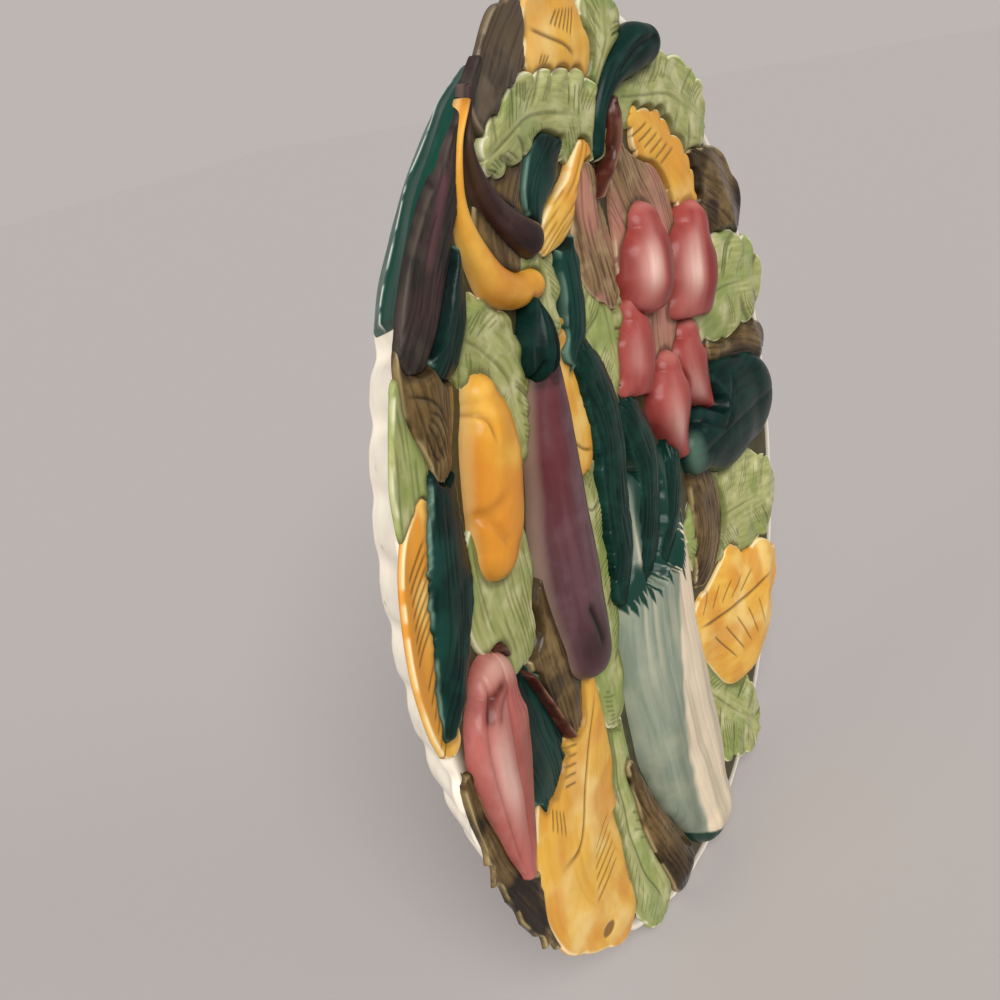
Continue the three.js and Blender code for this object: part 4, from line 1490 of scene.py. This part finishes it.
@dataclass
class Aubergine(Fruit):
    """A long smooth fruit, red on one side and nearly black at its blossom end.

    Attributes:
        red: strength of the second colour on one side.
        ruddy: which side that is, -1 or 1.
    """

    red: float = 0.7
    ruddy: int = 1

    def work(self, patch: Patch, height: Array) -> tuple[Array, Paint]:
        """Washes one side red, lays a pale edge on that side and the lower half, thin glaze with a painted
        highlight, and pools dark glaze at the blossom end.
        """
        height, paint = super().work(patch, height)
        turn = patch.side * self.ruddy
        red_side = smoothstep(0.05, 0.5, turn)
        paint.wash = self.red * red_side * between(0.05, 0.2, 0.3, 0.65, patch.share)
        paint.pool = 0.75 * bell(patch.share - 0.86, 0.09) * smoothstep(0.95, 0.6, patch.reach)
        # Pale edge on the red side and the lower half: thin glaze and a painted highlight.
        thin = np.maximum(smoothstep(0.5, 0.8, patch.share), turn > 0)
        paint.brim_and_highlight = 0.55 * smoothstep(0.84, 0.97, patch.reach) * thin
        return height, paint


@dataclass
class Squash(Fruit):
    """A yellow squash: orange at its sides and, on the large one, with a hooked fold near its top.

    Attributes:
        hook: middle of the hooked fold, x and z in mm.
        HOOK_RADIUS: radius of the fold, mm.
    """

    HOOK_RADIUS = 5.0

    hook: tuple[float, float] | None = None

    def work(self, patch: Patch, height: Array) -> tuple[Array, Paint]:
        """Lays orange patches, most at the sides, and presses the hooked fold: an arch on two legs."""
        height, paint = super().work(patch, height)
        patches = cloud(patch.x / 14, patch.z / 17, self.seed + 2)
        paint.wash = 0.75 * smoothstep(0.5, 0.9, patches + 0.25 * np.abs(patch.side) ** 2)
        paint.brim_and_highlight = 0.55 * smoothstep(0.86, 0.98, patch.reach)
        if self.hook:
            east, up = patch.x - self.hook[0], patch.z - self.hook[1]
            ring = np.hypot(east * 1.1, np.maximum(up, 0)) - self.HOOK_RADIUS
            legs = smoothstep(-7, -2, up)
            fold = bell(ring, 1.2) * legs
            knob = bell(np.hypot(east, np.where(up > 0, up, up * 0.4)), 5.5)
            place = patch.along - 0.55 * patch.along.max() + 0.6 * patch.across
            waist = bell(place, 3.0) * smoothstep(0.0, -0.6, patch.side)
            height = height - 1.1 * fold + 0.8 * knob - 1.0 * waist
            paint.line = 0.5 * bell(ring + 0.3, 0.8) * legs + 0.25 * waist
        return height, paint


@dataclass
class Pepper(Fruit):
    """A pepper: arched at its top, pointed at the corners of its foot, with a pale painted highlight and
    painted shade at its sides.

    Attributes:
        lobes: number of lengthwise lobes.
        pale: strength of the painted highlight, and of the painted shade at the sides.
        highlight_at: where it lies along the pepper.
        groove: depth of the grooves between the lobes, mm.
        foot: how far the corners of the foot run out, as a share of the half width.
        turned: how far the lobes are turned towards the left, as a share of the half width.
        HIGHLIGHT_SIDE: how far left of the middle the painted highlight lies, as a share of the half width.
    """

    HIGHLIGHT_SIDE = 0.5

    lobes: int = 1
    pale: float = 0.8
    highlight_at: float = 0.55
    groove: float = 1.6
    foot: float = 0.0
    turned: float = 0.0

    def cut(self, rim: Array, side: Array, half: Array, turn: Array) -> Array:
        """Draws the foot's corners out to points."""
        corner = self.foot * (bell(turn - 0.62, 0.2) - 0.55 * bell(turn - 1.0, 0.22))
        return super().cut(rim, side, half, turn) + corner

    def work(self, patch: Patch, height: Array) -> tuple[Array, Paint]:
        """Grooves the lobes and darkens them with pooled glaze and painted shade, paints a pale highlight
        left of the middle and along the top, and paints shade on the flanks.
        """
        height, paint = super().work(patch, height)
        middle = 0.5 if self.lobes % 2 else 0.0
        lobe = np.abs(np.sin(np.pi * ((patch.side + self.turned) * self.lobes / 2 + middle)))
        furrow = (1 - lobe) ** 3 * (np.abs(patch.side) < 0.9) * (self.lobes > 1)
        ends = between(0.0, 0.15, 0.8, 1.0, patch.share)
        height = height - self.groove * furrow * ends
        # Painted highlight: a pale spot left of the middle; painted shade on the flanks away from it, as
        # strong as the highlight.
        flank = patch.side + self.HIGHLIGHT_SIDE
        highlight_spot = bell(flank, 0.25) * bell(patch.share - self.highlight_at, 0.2)
        paint.wash = self.pale * highlight_spot * (0.75 + 0.25 * drift(patch.across / 1.7, self.seed))
        deep = smoothstep(0.25, 0.55, np.abs(flank)) * between(0.2, 0.45, 0.75, 0.95, patch.share)
        paint.pool = np.maximum(0.4 * furrow * ends, 0.8 * deep * self.pale)
        # Painted highlight along the arched top.
        paint.brim_and_highlight = 0.6 * smoothstep(0.14, 0.04, patch.share) * smoothstep(1.0, 0.8, patch.reach)
        return height, paint


@dataclass
class Leek(Fruit):
    """The leek's shaft: grey green on one side, cream on the other, with a dark root end.

    Attributes:
        SHEATHS: number of sheath lines in half the width.
        BARE_FROM: shares of the length, each with the side where the cream begins.
        ROOT: place through which the root's edge runs, x and z in mm.
    """

    SHEATHS = 3.2
    BARE_FROM = ((0.1, 0.35), (0.25, 0.15), (0.4, -0.08), (0.6, -0.4), (0.78, -0.56), (0.92, -0.72))
    ROOT = (-9.8, -168.0)

    def heights(self, patch: Patch) -> Array:
        """The round section, lower towards the blades."""
        return super().heights(patch) * (0.58 + 0.42 * smoothstep(0.06, 0.5, patch.share))

    def work(self, patch: Patch, height: Array) -> tuple[Array, Paint]:
        """Lays sheath lines along the shaft, bares the cream side and paints the root dark green."""
        height, paint = super().work(patch, height)
        way = patch.side + 0.1 * (cloud(patch.along / 40, patch.side * 2, self.seed) - 0.5)
        sheath = ruled(way * patch.half, patch.half / self.SHEATHS, 0.9)
        height = height - 0.25 * sheath * smoothstep(1.0, 0.9, patch.reach)
        bare = np.interp(patch.share, *np.array(self.BARE_FROM).T)
        bare = bare + 0.05 * (drift(patch.along / 7, self.seed) - 0.5)
        fold = bell((patch.side - bare) * patch.half, 1.2) * smoothstep(0.4, 0.5, patch.share)
        height = height - 0.6 * fold * smoothstep(1.0, 0.9, patch.reach)
        streaks = cloud(patch.along / 55, patch.across / 2.6, self.seed + 2)
        pale = 0.5 * smoothstep(0.6, 0.9, streaks) * smoothstep(0.6, 0.2, patch.share)
        paint.wash = np.maximum(smoothstep(bare - 0.02, bare + 0.08, patch.side), pale)
        dark = cloud(patch.along / 60, patch.across / 3.0, self.seed + 4)
        beside = bell(patch.side - bare + 0.12, 0.1) * smoothstep(0.45, 0.6, patch.share)
        paint.pool = np.maximum(0.3 * smoothstep(0.65, 0.95, dark), 0.35 * beside)
        below = patch.z - self.ROOT[1] + 0.5 * (patch.x - self.ROOT[0])
        root = smoothstep(1.0, -1.0, below)
        paint.line = np.maximum(root, BrushedGreen.strength(patch.x, patch.z))
        return height, paint


@dataclass
class Calyx(Fruit):
    """The aubergine's green cap, with pointed sepals that lie on the fruit and a stub of stem."""

    SIDE = 0.85

    comb: tuple[float, float] = (0.0, 15.0)

    def work(self, patch: Patch, height: Array) -> tuple[Array, Paint]:
        """Furrows the cap lengthwise between its sepals."""
        height, paint = super().work(patch, height)
        gap = (0.5 + 0.5 * np.cos(2 * np.pi * patch.side * 1.5)) ** 3
        furrow = gap * smoothstep(0.2, 0.6, patch.share)
        paint.line = 0.6 * furrow
        return height - 0.7 * furrow, paint


@dataclass
class Stem(Fruit):
    """A thin stem: round, with fine furrows along it.

    Attributes:
        FURROWS: spacing of the furrows, mm.
    """

    SIDE = 0.8
    FURROWS = 1.7

    def work(self, patch: Patch, height: Array) -> tuple[Array, Paint]:
        """Furrows the stem and leaves its crest pale."""
        height, paint = super().work(patch, height)
        furrow = ruled(patch.across, self.FURROWS, 0.4)
        paint.line = 0.5 * furrow
        paint.wash = 0.5 * bell(patch.side, 0.4) * smoothstep(0.3, 0.7, drift(patch.along / 6, self.seed))
        return height - 0.3 * furrow, paint


# The sprigs, front-most first, so that each is pressed under those before it. Stations and lines are in mm.
RELIEF: tuple[Sprig, ...] = (
    Calyx(
        "aubergine_calyx", DARK_GREEN, 7, 8,
        ((-53, 103, 1), (-52.5, 95, 5.5), (-53.5, 88, 7.5), (-54.5, 84, 7.5))),
    Aubergine(
        "centre_aubergine", AUBERGINE, 4, 14,
        ((-50, 90, 5), (-53, 70, 8.5), (-59, 40, 13), (-63.5, 5, 16.5), (-60, -34, 13.5)), ruddy=-1,
        scores=(
            Score(((-68, -8), (-65, -18), (-62, -31)), width=1.6, depth=0.7, ink=0.95),
        )),
    Squash(
        "yellow_squash", SQUASH, 4, 10,
        ((-92, 83, 8), (-91.5, 72, 14), (-94, 56, 15.5), (-98, 40, 14.5), (-101, 31, 12)),
        hook=(-102.5, 75),
        scores=(
            Score(((-110, 50), (-106, 42), (-101, 33)), width=1.8, depth=1.2, ink=0.2),
        )),
    Pepper(
        "long_red_pepper", LONG_PEPPER, 4, 10,
        ((-121.5, -12, 13.5), (-125, -21, 18.5), (-126.5, -33, 19), (-127.5, -49, 15.5), (-129, -67, 10),
         (-130.5, -82, 4)), lobes=3, highlight_at=0.45, groove=1.3, power=2.6, turned=0.4,
        scores=(
            Score(((-134, -16), (-131, -12), (-126, -9.5), (-119, -8)), width=1.6, depth=-1.0, ink=0.6),
            Score(((-137, -15), (-134, -11), (-129, -8), (-120, -6)), width=1.7, depth=0.0, ink=1.0),
        )),
    Aubergine(
        "small_aubergine", SMALL_AUBERGINE, 4, 7,
        ((-72, 175, 1), (-74.5, 164, 1.5), (-75.5, 154.5, 3), (-71.5, 144, 5), (-63, 134.5, 6),
         (-52.5, 126.5, 7), (-45, 122, 7.5)), fall=1.0, red=0.3, ruddy=-1),
    Squash(
        "yellow_chilli", SQUASH, 4, 6,
        ((-74, 171, 1), (-81, 161, 1.5), (-84.5, 150.5, 2.5), (-85, 139, 4), (-81, 127.5, 6),
         (-72, 115, 7.5), (-58, 107.5, 7), (-46, 106, 6)), fall=1.0),
    Stem(
        "long_pepper_stem", STEM, 5, 2,
        ((-122, -8, 2), (-118.5, -3, 2), (-114.5, -1.5, 2.5), (-110.5, -2.5, 2.5), (-108, -6, 2))),
    EvenLeaf(
        "radicchio_leaf", RADICCHIO, 4, 2,
        ((-62, 181, 1), (-71.5, 170, 2), (-83, 158, 4), (-91, 148, 6), (-100, 138.5, 8.5),
         (-109.5, 127.5, 9.5), (-117, 117, 9), (-123.5, 109, 7)), rim_share=0.6, second=0.25,
        scores=(
            Score(((-90, 155), (-98, 146), (-105, 137), (-113, 126)), width=2.2, depth=-0.6, wash=0.9),
        )),
    EvenLeaf(
        "chard_leaf", DARK_GREEN, 5, 3,
        ((-95, 136, 1), (-97, 123, 7), (-102, 113, 9.5), (-108, 104.5, 9.5))),
    Stem(
        "stem_bud", STEM, 8, 3,
        ((25.5, 156.5, 1.5), (25, 151, 4.5), (24.5, 142.5, 4.5), (22, 136.5, 2.5), (15, 129.5, 2),
         (8, 124, 1.5))),
    Blade(
        "leek_blade_left", BLADE, 7, 3,
        ((-26, -30, 4), (-20, -12, 8.5), (-17, 14, 9), (-13.5, 35, 10.5), (-17, 56, 9.5), (-24, 74, 6))),
    Blade(
        "leek_blade_inner", BLADE, 7, 3,
        ((-4, -28, 8), (5, -13, 10), (12, 6, 9), (11, 22, 9.5), (3, 40, 7))),
    Blade(
        "leek_blade_right", BLADE, 7, 3,
        ((13, -32, 5), (24, -22, 7.5), (31, -8, 9), (34, 2, 8)), Margin.PLAIN),
    Leek(
        "leek_bulb", LEEK, 5, 14,
        ((17, -10, 27), (8, -34, 33), (0, -66, 32), (2, -105, 33), (8, -137, 30), (13, -165, 21))),
    Pepper(
        "red_pepper_top_left", RED_PEPPER, 4, 13,
        ((41, 105, 11), (40, 97, 17.5), (38.5, 86, 19)), pale=1.0, foot=0.1),
    Pepper(
        "red_pepper_top_right", RED_PEPPER, 4, 13,
        ((85.5, 93, 12.5), (81.5, 84, 20), (79, 73, 21)), pale=1.0, foot=0.3),
    Pepper(
        "red_pepper_low_centre", RED_PEPPER, 4, 11,
        ((45, 42, 9), (43.5, 34, 14.5), (43, 26, 15.5), (45, 14, 10), (50, 1, 3.5)), pale=0.6, foot=0.05),
    Pepper(
        "red_pepper_low_left", RED_PEPPER, 4, 9,
        ((22, 72, 9), (20.5, 63.5, 15), (18, 54, 15)), pale=0.3, foot=0.35),
    Pepper(
        "red_pepper_low_right", RED_PEPPER, 4, 9,
        ((70, 48, 10.5), (68, 39, 17), (72, 28, 14), (84, 11, 3.5)), pale=0.45, foot=0.05),
    Pepper(
        "green_pepper", DARK_GREEN, 4, 12,
        ((67, -5, 14), (94, -2, 28), (122, -2, 25)), lobes=2, pale=0.0, groove=0.8,
        scores=(
            Score(((50, 12), (66, 8), (82, 0), (92, 8), (104, 22)), width=1.6, depth=0.7, ink=0.5),
        )),
    EvenLeaf(
        "stem_right", STALK, 4, 2,
        ((33, 134, 6), (38, 120, 18), (46, 104, 27), (51, 82, 28), (50, 56, 23)),
        scores=(
            Score(((58, 108), (56, 84), (52, 50)), width=16, depth=0.0, wash=0.9),
        )),
    StreakedLeaf(
        "onion_bulb", STALK, 4, 3,
        ((5, 129.5, 8), (2, 119.5, 11.5), (2.5, 108.5, 14.5), (5, 96.5, 12.5), (10, 86, 5)),
        Margin.RAGGED),
    Fruit(
        "dark_courgette", DARK_GREEN, 4, 7,
        ((14, 140, 4), (18, 153, 5), (30, 165, 7), (46, 171, 10), (56, 171, 9)),
        scores=(
            Score(((26, 163), (42, 172), (58, 174)), width=1.4, depth=1.0, ink=0.6),
        )),
    StreakedLeaf(
        "dark_leaf_small", DARK_GREEN, 5, 2,
        ((-14, 148, 1), (-25.5, 143.5, 9.5), (-35, 135, 8), (-38, 128, 4))),
    EvenLeaf(
        "yellow_leaf_inner", YELLOW, 5, 2,
        ((2, 139.5, 6), (-8, 129.5, 6.5), (-24, 121.5, 7), (-35, 117, 4))),
    StreakedLeaf(
        "dark_leaf_band", DARK_GREEN, 6, 2,
        ((-21, 113, 5), (-21, 98, 7), (-24, 84, 7), (-30, 74, 3)), Margin.TOOTHED),
    FrilledLeaf(
        "lettuce_leaf_notch", LETTUCE, 4, 2,
        ((-40, 114, 10), (-40, 103, 13), (-40, 88, 9)), lobe=14),
    FrilledLeaf(
        "lettuce_leaf_heart", LETTUCE, 4, 2,
        ((-4, 104, 10), (0, 86, 17), (2, 58, 18)), slant=0.7),
    Leaf(
        "yellow_leaf_centre", YELLOW, 4, 2,
        ((-34, 82, 8), (-37, 62, 14), (-32, 38, 10)),
        scores=(
            Score(((-42, 62), (-41, 48), (-34, 39), (-24, 34)), width=0.6),
        )),
    FrilledLeaf(
        "lettuce_leaf_strip", LETTUCE, 3, 2,
        ((-36, 44, 14), (-38, 2, 18), (-39, -33, 16), (-41, -74, 9)), Margin.PLAIN, lobe=24, slant=-0.4,
        scores=(
            Score(((-41, 24), (-35, 13), (-23, 14))),
            Score(((-38, 25), (-37, 29)), ((-31, 22), (-31, 26)), 4, width=0.4),
        )),
    EvenLeaf(
        "brown_leaf_left", BROWN, 5, 2,
        ((-121, 104, 12), (-121, 90, 12.5), (-122.5, 73, 6)),
        scores=(
            Score(((-132, 98), (-124, 93.5), (-118.5, 86), (-115.5, 79.5)), width=0.6),
            Score(((-126, 91), (-121, 86.5), (-118.5, 79), (-119.5, 73)), ((-128.5, 86), (-128, 81),
                  (-126.5, 76), (-124, 73.5)), 4),
        )),
    StreakedLeaf(
        "dark_leaf_left", DARK_GREEN, 6, 2,
        ((-124, 66, 7), (-129, 50, 10), (-132, 34, 12), (-139, 16, 10), (-151, -7, 3)), Margin.RAGGED),
    FrilledLeaf(
        "lettuce_leaf_squash", LETTUCE, 3, 3,
        ((-98, 104, 12), (-85, 95, 19), (-73, 80, 17), (-72, 62, 13))),
    StreakedLeaf("lettuce_leaf_under", LETTUCE, 4, 2, ((-101, 24, 22), (-101, 9, 22), (-99, -4, 14))),
    Stem("red_stem", STEM, 8, 2, ((-103.5, -12, 1.5), (-93, -35, 1.5), (-82.5, -58.5, 2))),
    StreakedLeaf(
        "dark_leaf_low", DARK_GREEN, 5, 1,
        ((-110, -12, 8), (-104, -36, 14), (-101, -58, 16)), Margin.TOOTHED),
    EvenLeaf("brown_leaf_low", BROWN, 5, 2, ((-81, 4, 6), (-81, -18, 13), (-77, -40, 12), (-75, -57, 6))),
    Leaf(
        "yellow_leaf_low", YELLOW, 4, 3,
        ((-62, -52, 13), (-80, -82, 30), (-91, -110, 34), (-83, -137, 24), (-76, -154, 14)),
        scores=(
            Score(((-56, -54), (-71, -74), (-82, -90), (-94, -103), (-112, -101)), width=0.9, depth=0.8),
            Score(((-88, -62), (-77, -67)), ((-93, -76), (-84, -80)), 5),
            Score(((-108, -85), (-103, -77)), ((-101, -93), (-98, -82)), 4),
            Score(((-85, -113), (-66, -109)), ((-95, -131), (-67, -131)), 6),
            Score(((-90, -150), (-87, -151)), width=3.2, depth=0.8, ink=0.0, stain=1.0),
        )),
    StreakedLeaf(
        "brown_stem_low", BROWN, 4, 3,
        ((-148, -30, 2), (-146, -50, 3), (-140, -74, 5.5), (-132, -94, 8), (-124, -111, 8),
         (-117, -124, 6)), Margin.TOOTHED, second=1.0),
    EvenLeaf(
        "brown_leaf_base", BROWN, 4, 4,
        ((-41, -106, 2), (-33, -138, 7), (-25, -160, 10.5), (-19, -178, 11.5)), dark_end=1.0),
    Leaf(
        "lettuce_leaf_base", LETTUCE, 3, 2,
        ((-47, -78, 8), (-50, -116, 13), (-50, -152, 17), (-44, -174, 14)), veins=Veins.HATCHED,
        wander=1.5),
    EvenLeaf(
        "brown_leaf_right_low", BROWN, 4, 2,
        ((66, -17, 9.5), (70, -35.5, 15), (68, -52, 15), (56, -63, 8.5), (47.5, -66.5, 1.5)),
        dark_end=0.6),
    Leaf(
        "yellow_leaf_right", YELLOW, 4, 4,
        ((52, -94, 17), (78, -103, 34), (102, -104, 32), (118, -98, 18)),
        scores=(
            Score(((126, -100), (94, -98), (63, -93), (40, -87)), width=0.8, depth=0.8),
            Score(((115, -105), (114, -124)), ((53, -98), (74, -124)), 6),
            Score(((47, -84), (60, -76)), ((86, -93), (105, -88)), 5),
        )),
    FrilledLeaf(
        "lettuce_leaf_right_low", LETTUCE, 3, 3,
        ((64, -46, 20), (104, -52, 27), (126, -57, 22)), lobe=17),
    FrilledLeaf(
        "lettuce_leaf_corner", LETTUCE, 3, 3,
        ((42, -124, 16), (57, -142, 27), (71, -158, 20)), lobe=15),
    FrilledLeaf(
        "lettuce_leaf_right", LETTUCE, 4, 3,
        ((92, 58, 19), (115, 58, 26), (136, 54, 20)), lobe=19),
    StreakedLeaf(
        "brown_leaf_right", BROWN, 3, 3,
        ((106, 32, 10), (128, 27, 13), (142, 20, 11)), dark_end=0.8),
    Leaf(
        "yellow_leaf_top_right", YELLOW, 4, 2,
        ((47.5, 145.5, 4), (59, 135, 12), (76, 122.5, 12), (88, 109.5, 8.5), (94, 103, 3.5)),
        Margin.SCALLOPED, dark_end=0.5,
        scores=(
            Score(((44, 139), (57, 143)), ((65, 124), (78, 129)), 6),
        )),
    StreakedLeaf(
        "brown_leaf_top_right", BROWN, 4, 3,
        ((96, 112, 12), (112, 102, 20), (124, 92, 17)), dark_end=1.0),
    FrilledLeaf(
        "lettuce_leaf_fan", LETTUCE, 3, 3,
        ((46, 154, 12), (74, 150, 18), (97, 138, 16)), lobe=13),
    FrilledLeaf(
        "lettuce_leaf_crown", LETTUCE, 5, 2,
        ((-60, 154, 9), (-37, 160, 12), (-11, 157, 15), (14, 150, 13)), lobe=12,
        scores=(
            Score(((-43, 167), (-40, 172)), ((-38, 165), (-36, 172)), 4),
            Score(((-8, 159), (-4, 167)), ((-1, 154), (2, 165)), 3),
        )),
    EvenLeaf(
        "brown_leaf_inner", BROWN, 3, 3,
        ((-44, 150, 6), (-54.5, 139, 15), (-58, 128, 17.5), (-57.5, 117, 12))),
    EvenLeaf(
        "brown_leaf_top", BROWN_TOP, 5, 2,
        ((-36, 190, 7), (-42, 185, 11.5), (-50, 177, 11), (-59, 167, 10))),
    Leaf(
        "yellow_leaf_top", YELLOW, 4, 2,
        ((-8, 183, 20), (-8, 176, 23), (-9, 167, 20)), second=0.5,
        scores=(
            Score(((-27, 187), (-17, 183), (-6, 179), (2, 174)), width=0.7),
            Score(((-13, 186), (-6, 191)), ((-1, 181), (6, 191)), 6),
            Score(((-24, 175), (-22, 178)), ((-21, 174), (-18, 177)), 3),
        )),
    FrilledLeaf("lettuce_leaf_top", LETTUCE, 3, 3, ((16, 161, 10), (22, 171, 14), (27, 180, 17))),
    Leaf(
        "yellow_leaf_left", YELLOW, 4, 2,
        ((-137, 63, 3), (-142, 54, 7.5), (-146, 42, 10), (-150, 25, 10), (-152, 7, 8.5), (-151, -12, 5)),
        second=1.0,
        scores=(
            Score(((-152, 46), (-140, 56)), ((-158, 20), (-146, 30)), 8),
            Score(((-156, 10), (-146, 22)), ((-157, -16), (-149, -4)), 6),
        )),
    EvenLeaf(
        "lettuce_leaf_left", LETTUCE, 3, 2,
        ((-134, 100, 3), (-135, 88, 7), (-137, 75, 10), (-139, 62, 9))),
)


def settle(piece: bpy.types.Object, node: str) -> None:
    """Lets a piece stand for its solid and ride on the platter.

    Args:
        piece: the finished piece.
        node: the solid that it replaces.
    """
    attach(piece, BODY)
    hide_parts(node)
    LOG.info("%s: %d faces", piece.name, len(piece.data.polygons))


@dataclass
class Platter:
    """The whole object: the dish, its foot ring, the leaf on its rim and the relief.

    Attributes:
        dish: sizes of the dish.
        rim_leaf: sizes of the draped leaf.
        relief: the sprigs, front-most first.
        foot_round: rounding of the foot ring's edges, mm.
        FIRST_SEED: seed of the first sprig's noises.
        SEED_STEP: what each further sprig adds.
    """

    FIRST_SEED = 1.0
    SEED_STEP = 0.37

    dish: Dish
    rim_leaf: RimLeaf = field(default_factory=RimLeaf)
    relief: tuple[Sprig, ...] = RELIEF
    foot_round: float = 1.6

    def build_dish(self) -> None:
        """Builds the dish with its pressed rim, and the leaf draped over it."""
        body = self.dish.surface()
        settle(body.piece("platter_body_glazed", CREAM.material()), "platter_body")
        leaf = self.rim_leaf.surface(self.dish)
        settle(leaf.piece("teal_rim_leaf_glazed", TEAL.material()), "teal_rim_leaf")

    def build_foot(self, solid: bpy.types.Object) -> None:
        """Builds the foot ring from a welded copy of its solid, with soft wiped edges.

        Args:
            solid: the ring's solid.
        """
        mesh = solid.data.copy()
        mesh.name = "foot_ring_clay"
        piece = add_object("foot_ring_clay", mesh)
        weld = piece.modifiers.new("weld", "WELD")
        weld.merge_threshold = 0.01 * MM
        soft = piece.modifiers.new("wiped_edges", "BEVEL")
        soft.width = self.foot_round * MM
        soft.segments = 3
        soft.limit_method = "ANGLE"
        mesh.materials.clear()
        clay = BareClay()
        mesh.materials.append(clay.material())
        settle(piece, "foot_ring")

    def build_relief(self) -> None:
        """Builds the sprigs from the front backwards, each pressed under those before it."""
        above: list[Outline] = []
        for number, sprig in enumerate(self.relief):
            sprig.seed = self.FIRST_SEED + self.SEED_STEP * number
            surface, outline = sprig.surface(self.dish, above)
            above.append(outline)
            piece = surface.piece(f"{sprig.name}_glazed", sprig.glaze.material())
            settle(piece, sprig.name)


@dataclass
class Studio:
    """A pale floor, soft lights and the camera at the photograph's viewing angle.

    Attributes:
        camera_at: the camera's place, mm.
        right: the picture's rightward direction.
        down: its downward direction.
        lens: focal length, mm.
        sensor: width of the sensor, mm.
        floor_colour: colour of the floor.
        sky_colour: colour that the camera sees past the floor.
        sky_light: strength of the light from all round.
        floor_size: side of the floor, mm.
        floor_gap: how far the floor lies under the platter, mm.
    """

    camera_at: tuple[float, float, float] = (-367.5, -231.0, 190.0)
    right: tuple[float, float, float] = (0.5139, -0.8349, -0.1971)
    down: tuple[float, float, float] = (-0.4333, -0.0543, -0.8996)
    lens: float = 39.6
    sensor: float = 36.0
    floor_colour: str = "#B5AEAB"
    sky_colour: str = "#BDB6B3"
    sky_light: float = 0.36
    floor_size: float = 9000.0
    floor_gap: float = 1.0

    def build_camera(self) -> None:
        """Places the camera by its right and up directions."""
        data = bpy.data.cameras.new("camera")
        data.lens = self.lens
        data.sensor_width = self.sensor
        data.clip_start = 0.01
        camera = add_object("camera", data)
        right, up = Vector(self.right), -Vector(self.down)
        turn = Matrix((right, up, right.cross(up))).transposed()
        camera.matrix_world = Matrix.Translation(Vector(self.camera_at) * MM) @ turn.to_4x4()
        bpy.context.scene.camera = camera

    def build_floor(self, lowest: float) -> None:
        """Lays a plain pale floor under the platter.

        Args:
            lowest: height of the platter's lowest point, m.
        """
        half = self.floor_size * MM / 2
        mesh = bpy.data.meshes.new("floor")
        corners = [(-half, -half, 0), (half, -half, 0), (half, half, 0), (-half, half, 0)]
        mesh.from_pydata(corners, [], [(0, 1, 2, 3)])
        floor = add_object("floor", mesh)
        floor.location.z = lowest - self.floor_gap * MM
        paper = bpy.data.materials.new("pale_paper")
        paper.use_nodes = True
        shader = paper.node_tree.nodes["Principled BSDF"]
        shader.inputs["Base Color"].default_value = srgb(self.floor_colour)
        shader.inputs["Roughness"].default_value = 0.9
        mesh.materials.append(paper)
        floor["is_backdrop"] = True

    def build_lights(self) -> None:
        """Sets a soft sun at the upper left, weaker ones in front and beside the rim, and an even sky."""
        for name, towards, angle, strength in (
            ("key", (-0.8, -0.75, 0.9), 35.0, 2.7),
            ("fill", (0.4, -1.0, 0.45), 40.0, 0.5),
            ("side", (-1.0, 0.1, 0.25), 40.0, 1.1),
        ):
            data = bpy.data.lights.new(name, "SUN")
            data.angle = np.radians(angle)
            data.energy = strength
            lamp = add_object(name, data)
            lamp.location = Vector(towards)
            lamp.rotation_mode = "QUATERNION"
            lamp.rotation_quaternion = (-lamp.location).to_track_quat("-Z", "Y")
        world = bpy.data.worlds.new("sky")
        world.use_nodes = True
        bpy.context.scene.world = world
        tree = world.node_tree
        tree.nodes.clear()
        ray = add_node(tree, "ShaderNodeLightPath", {}, {})
        light = add_node(tree, "ShaderNodeBackground", {}, {
            "Color": (1, 1, 1, 1), "Strength": self.sky_light})
        plain = add_node(tree, "ShaderNodeBackground", {}, {
            "Color": srgb(self.sky_colour), "Strength": 1.0})
        both = add_node(tree, "ShaderNodeMixShader", {}, {
            0: ray.outputs["Is Camera Ray"], 1: light.outputs[0], 2: plain.outputs[0]})
        add_node(tree, "ShaderNodeOutputWorld", {}, {"Surface": both.outputs[0]})
        bpy.context.scene.view_settings.view_transform = "Standard"


def main() -> None:
    """Loads the frame and builds the platter and the studio, with the floor under the solid's lowest point.
    """
    logging.basicConfig(level=logging.INFO, format="%(name)s %(message)s")
    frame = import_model()
    solid_box = [list(corner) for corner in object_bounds()]
    studio = Studio()
    studio.build_camera()
    platter = Platter(Dish.from_frame())
    platter.build_dish()
    platter.build_foot(frame["nodes"]["foot_ring"])
    platter.build_relief()
    studio.build_floor(solid_box[0][2])
    studio.build_lights()


if __name__ == "__main__":
    main()
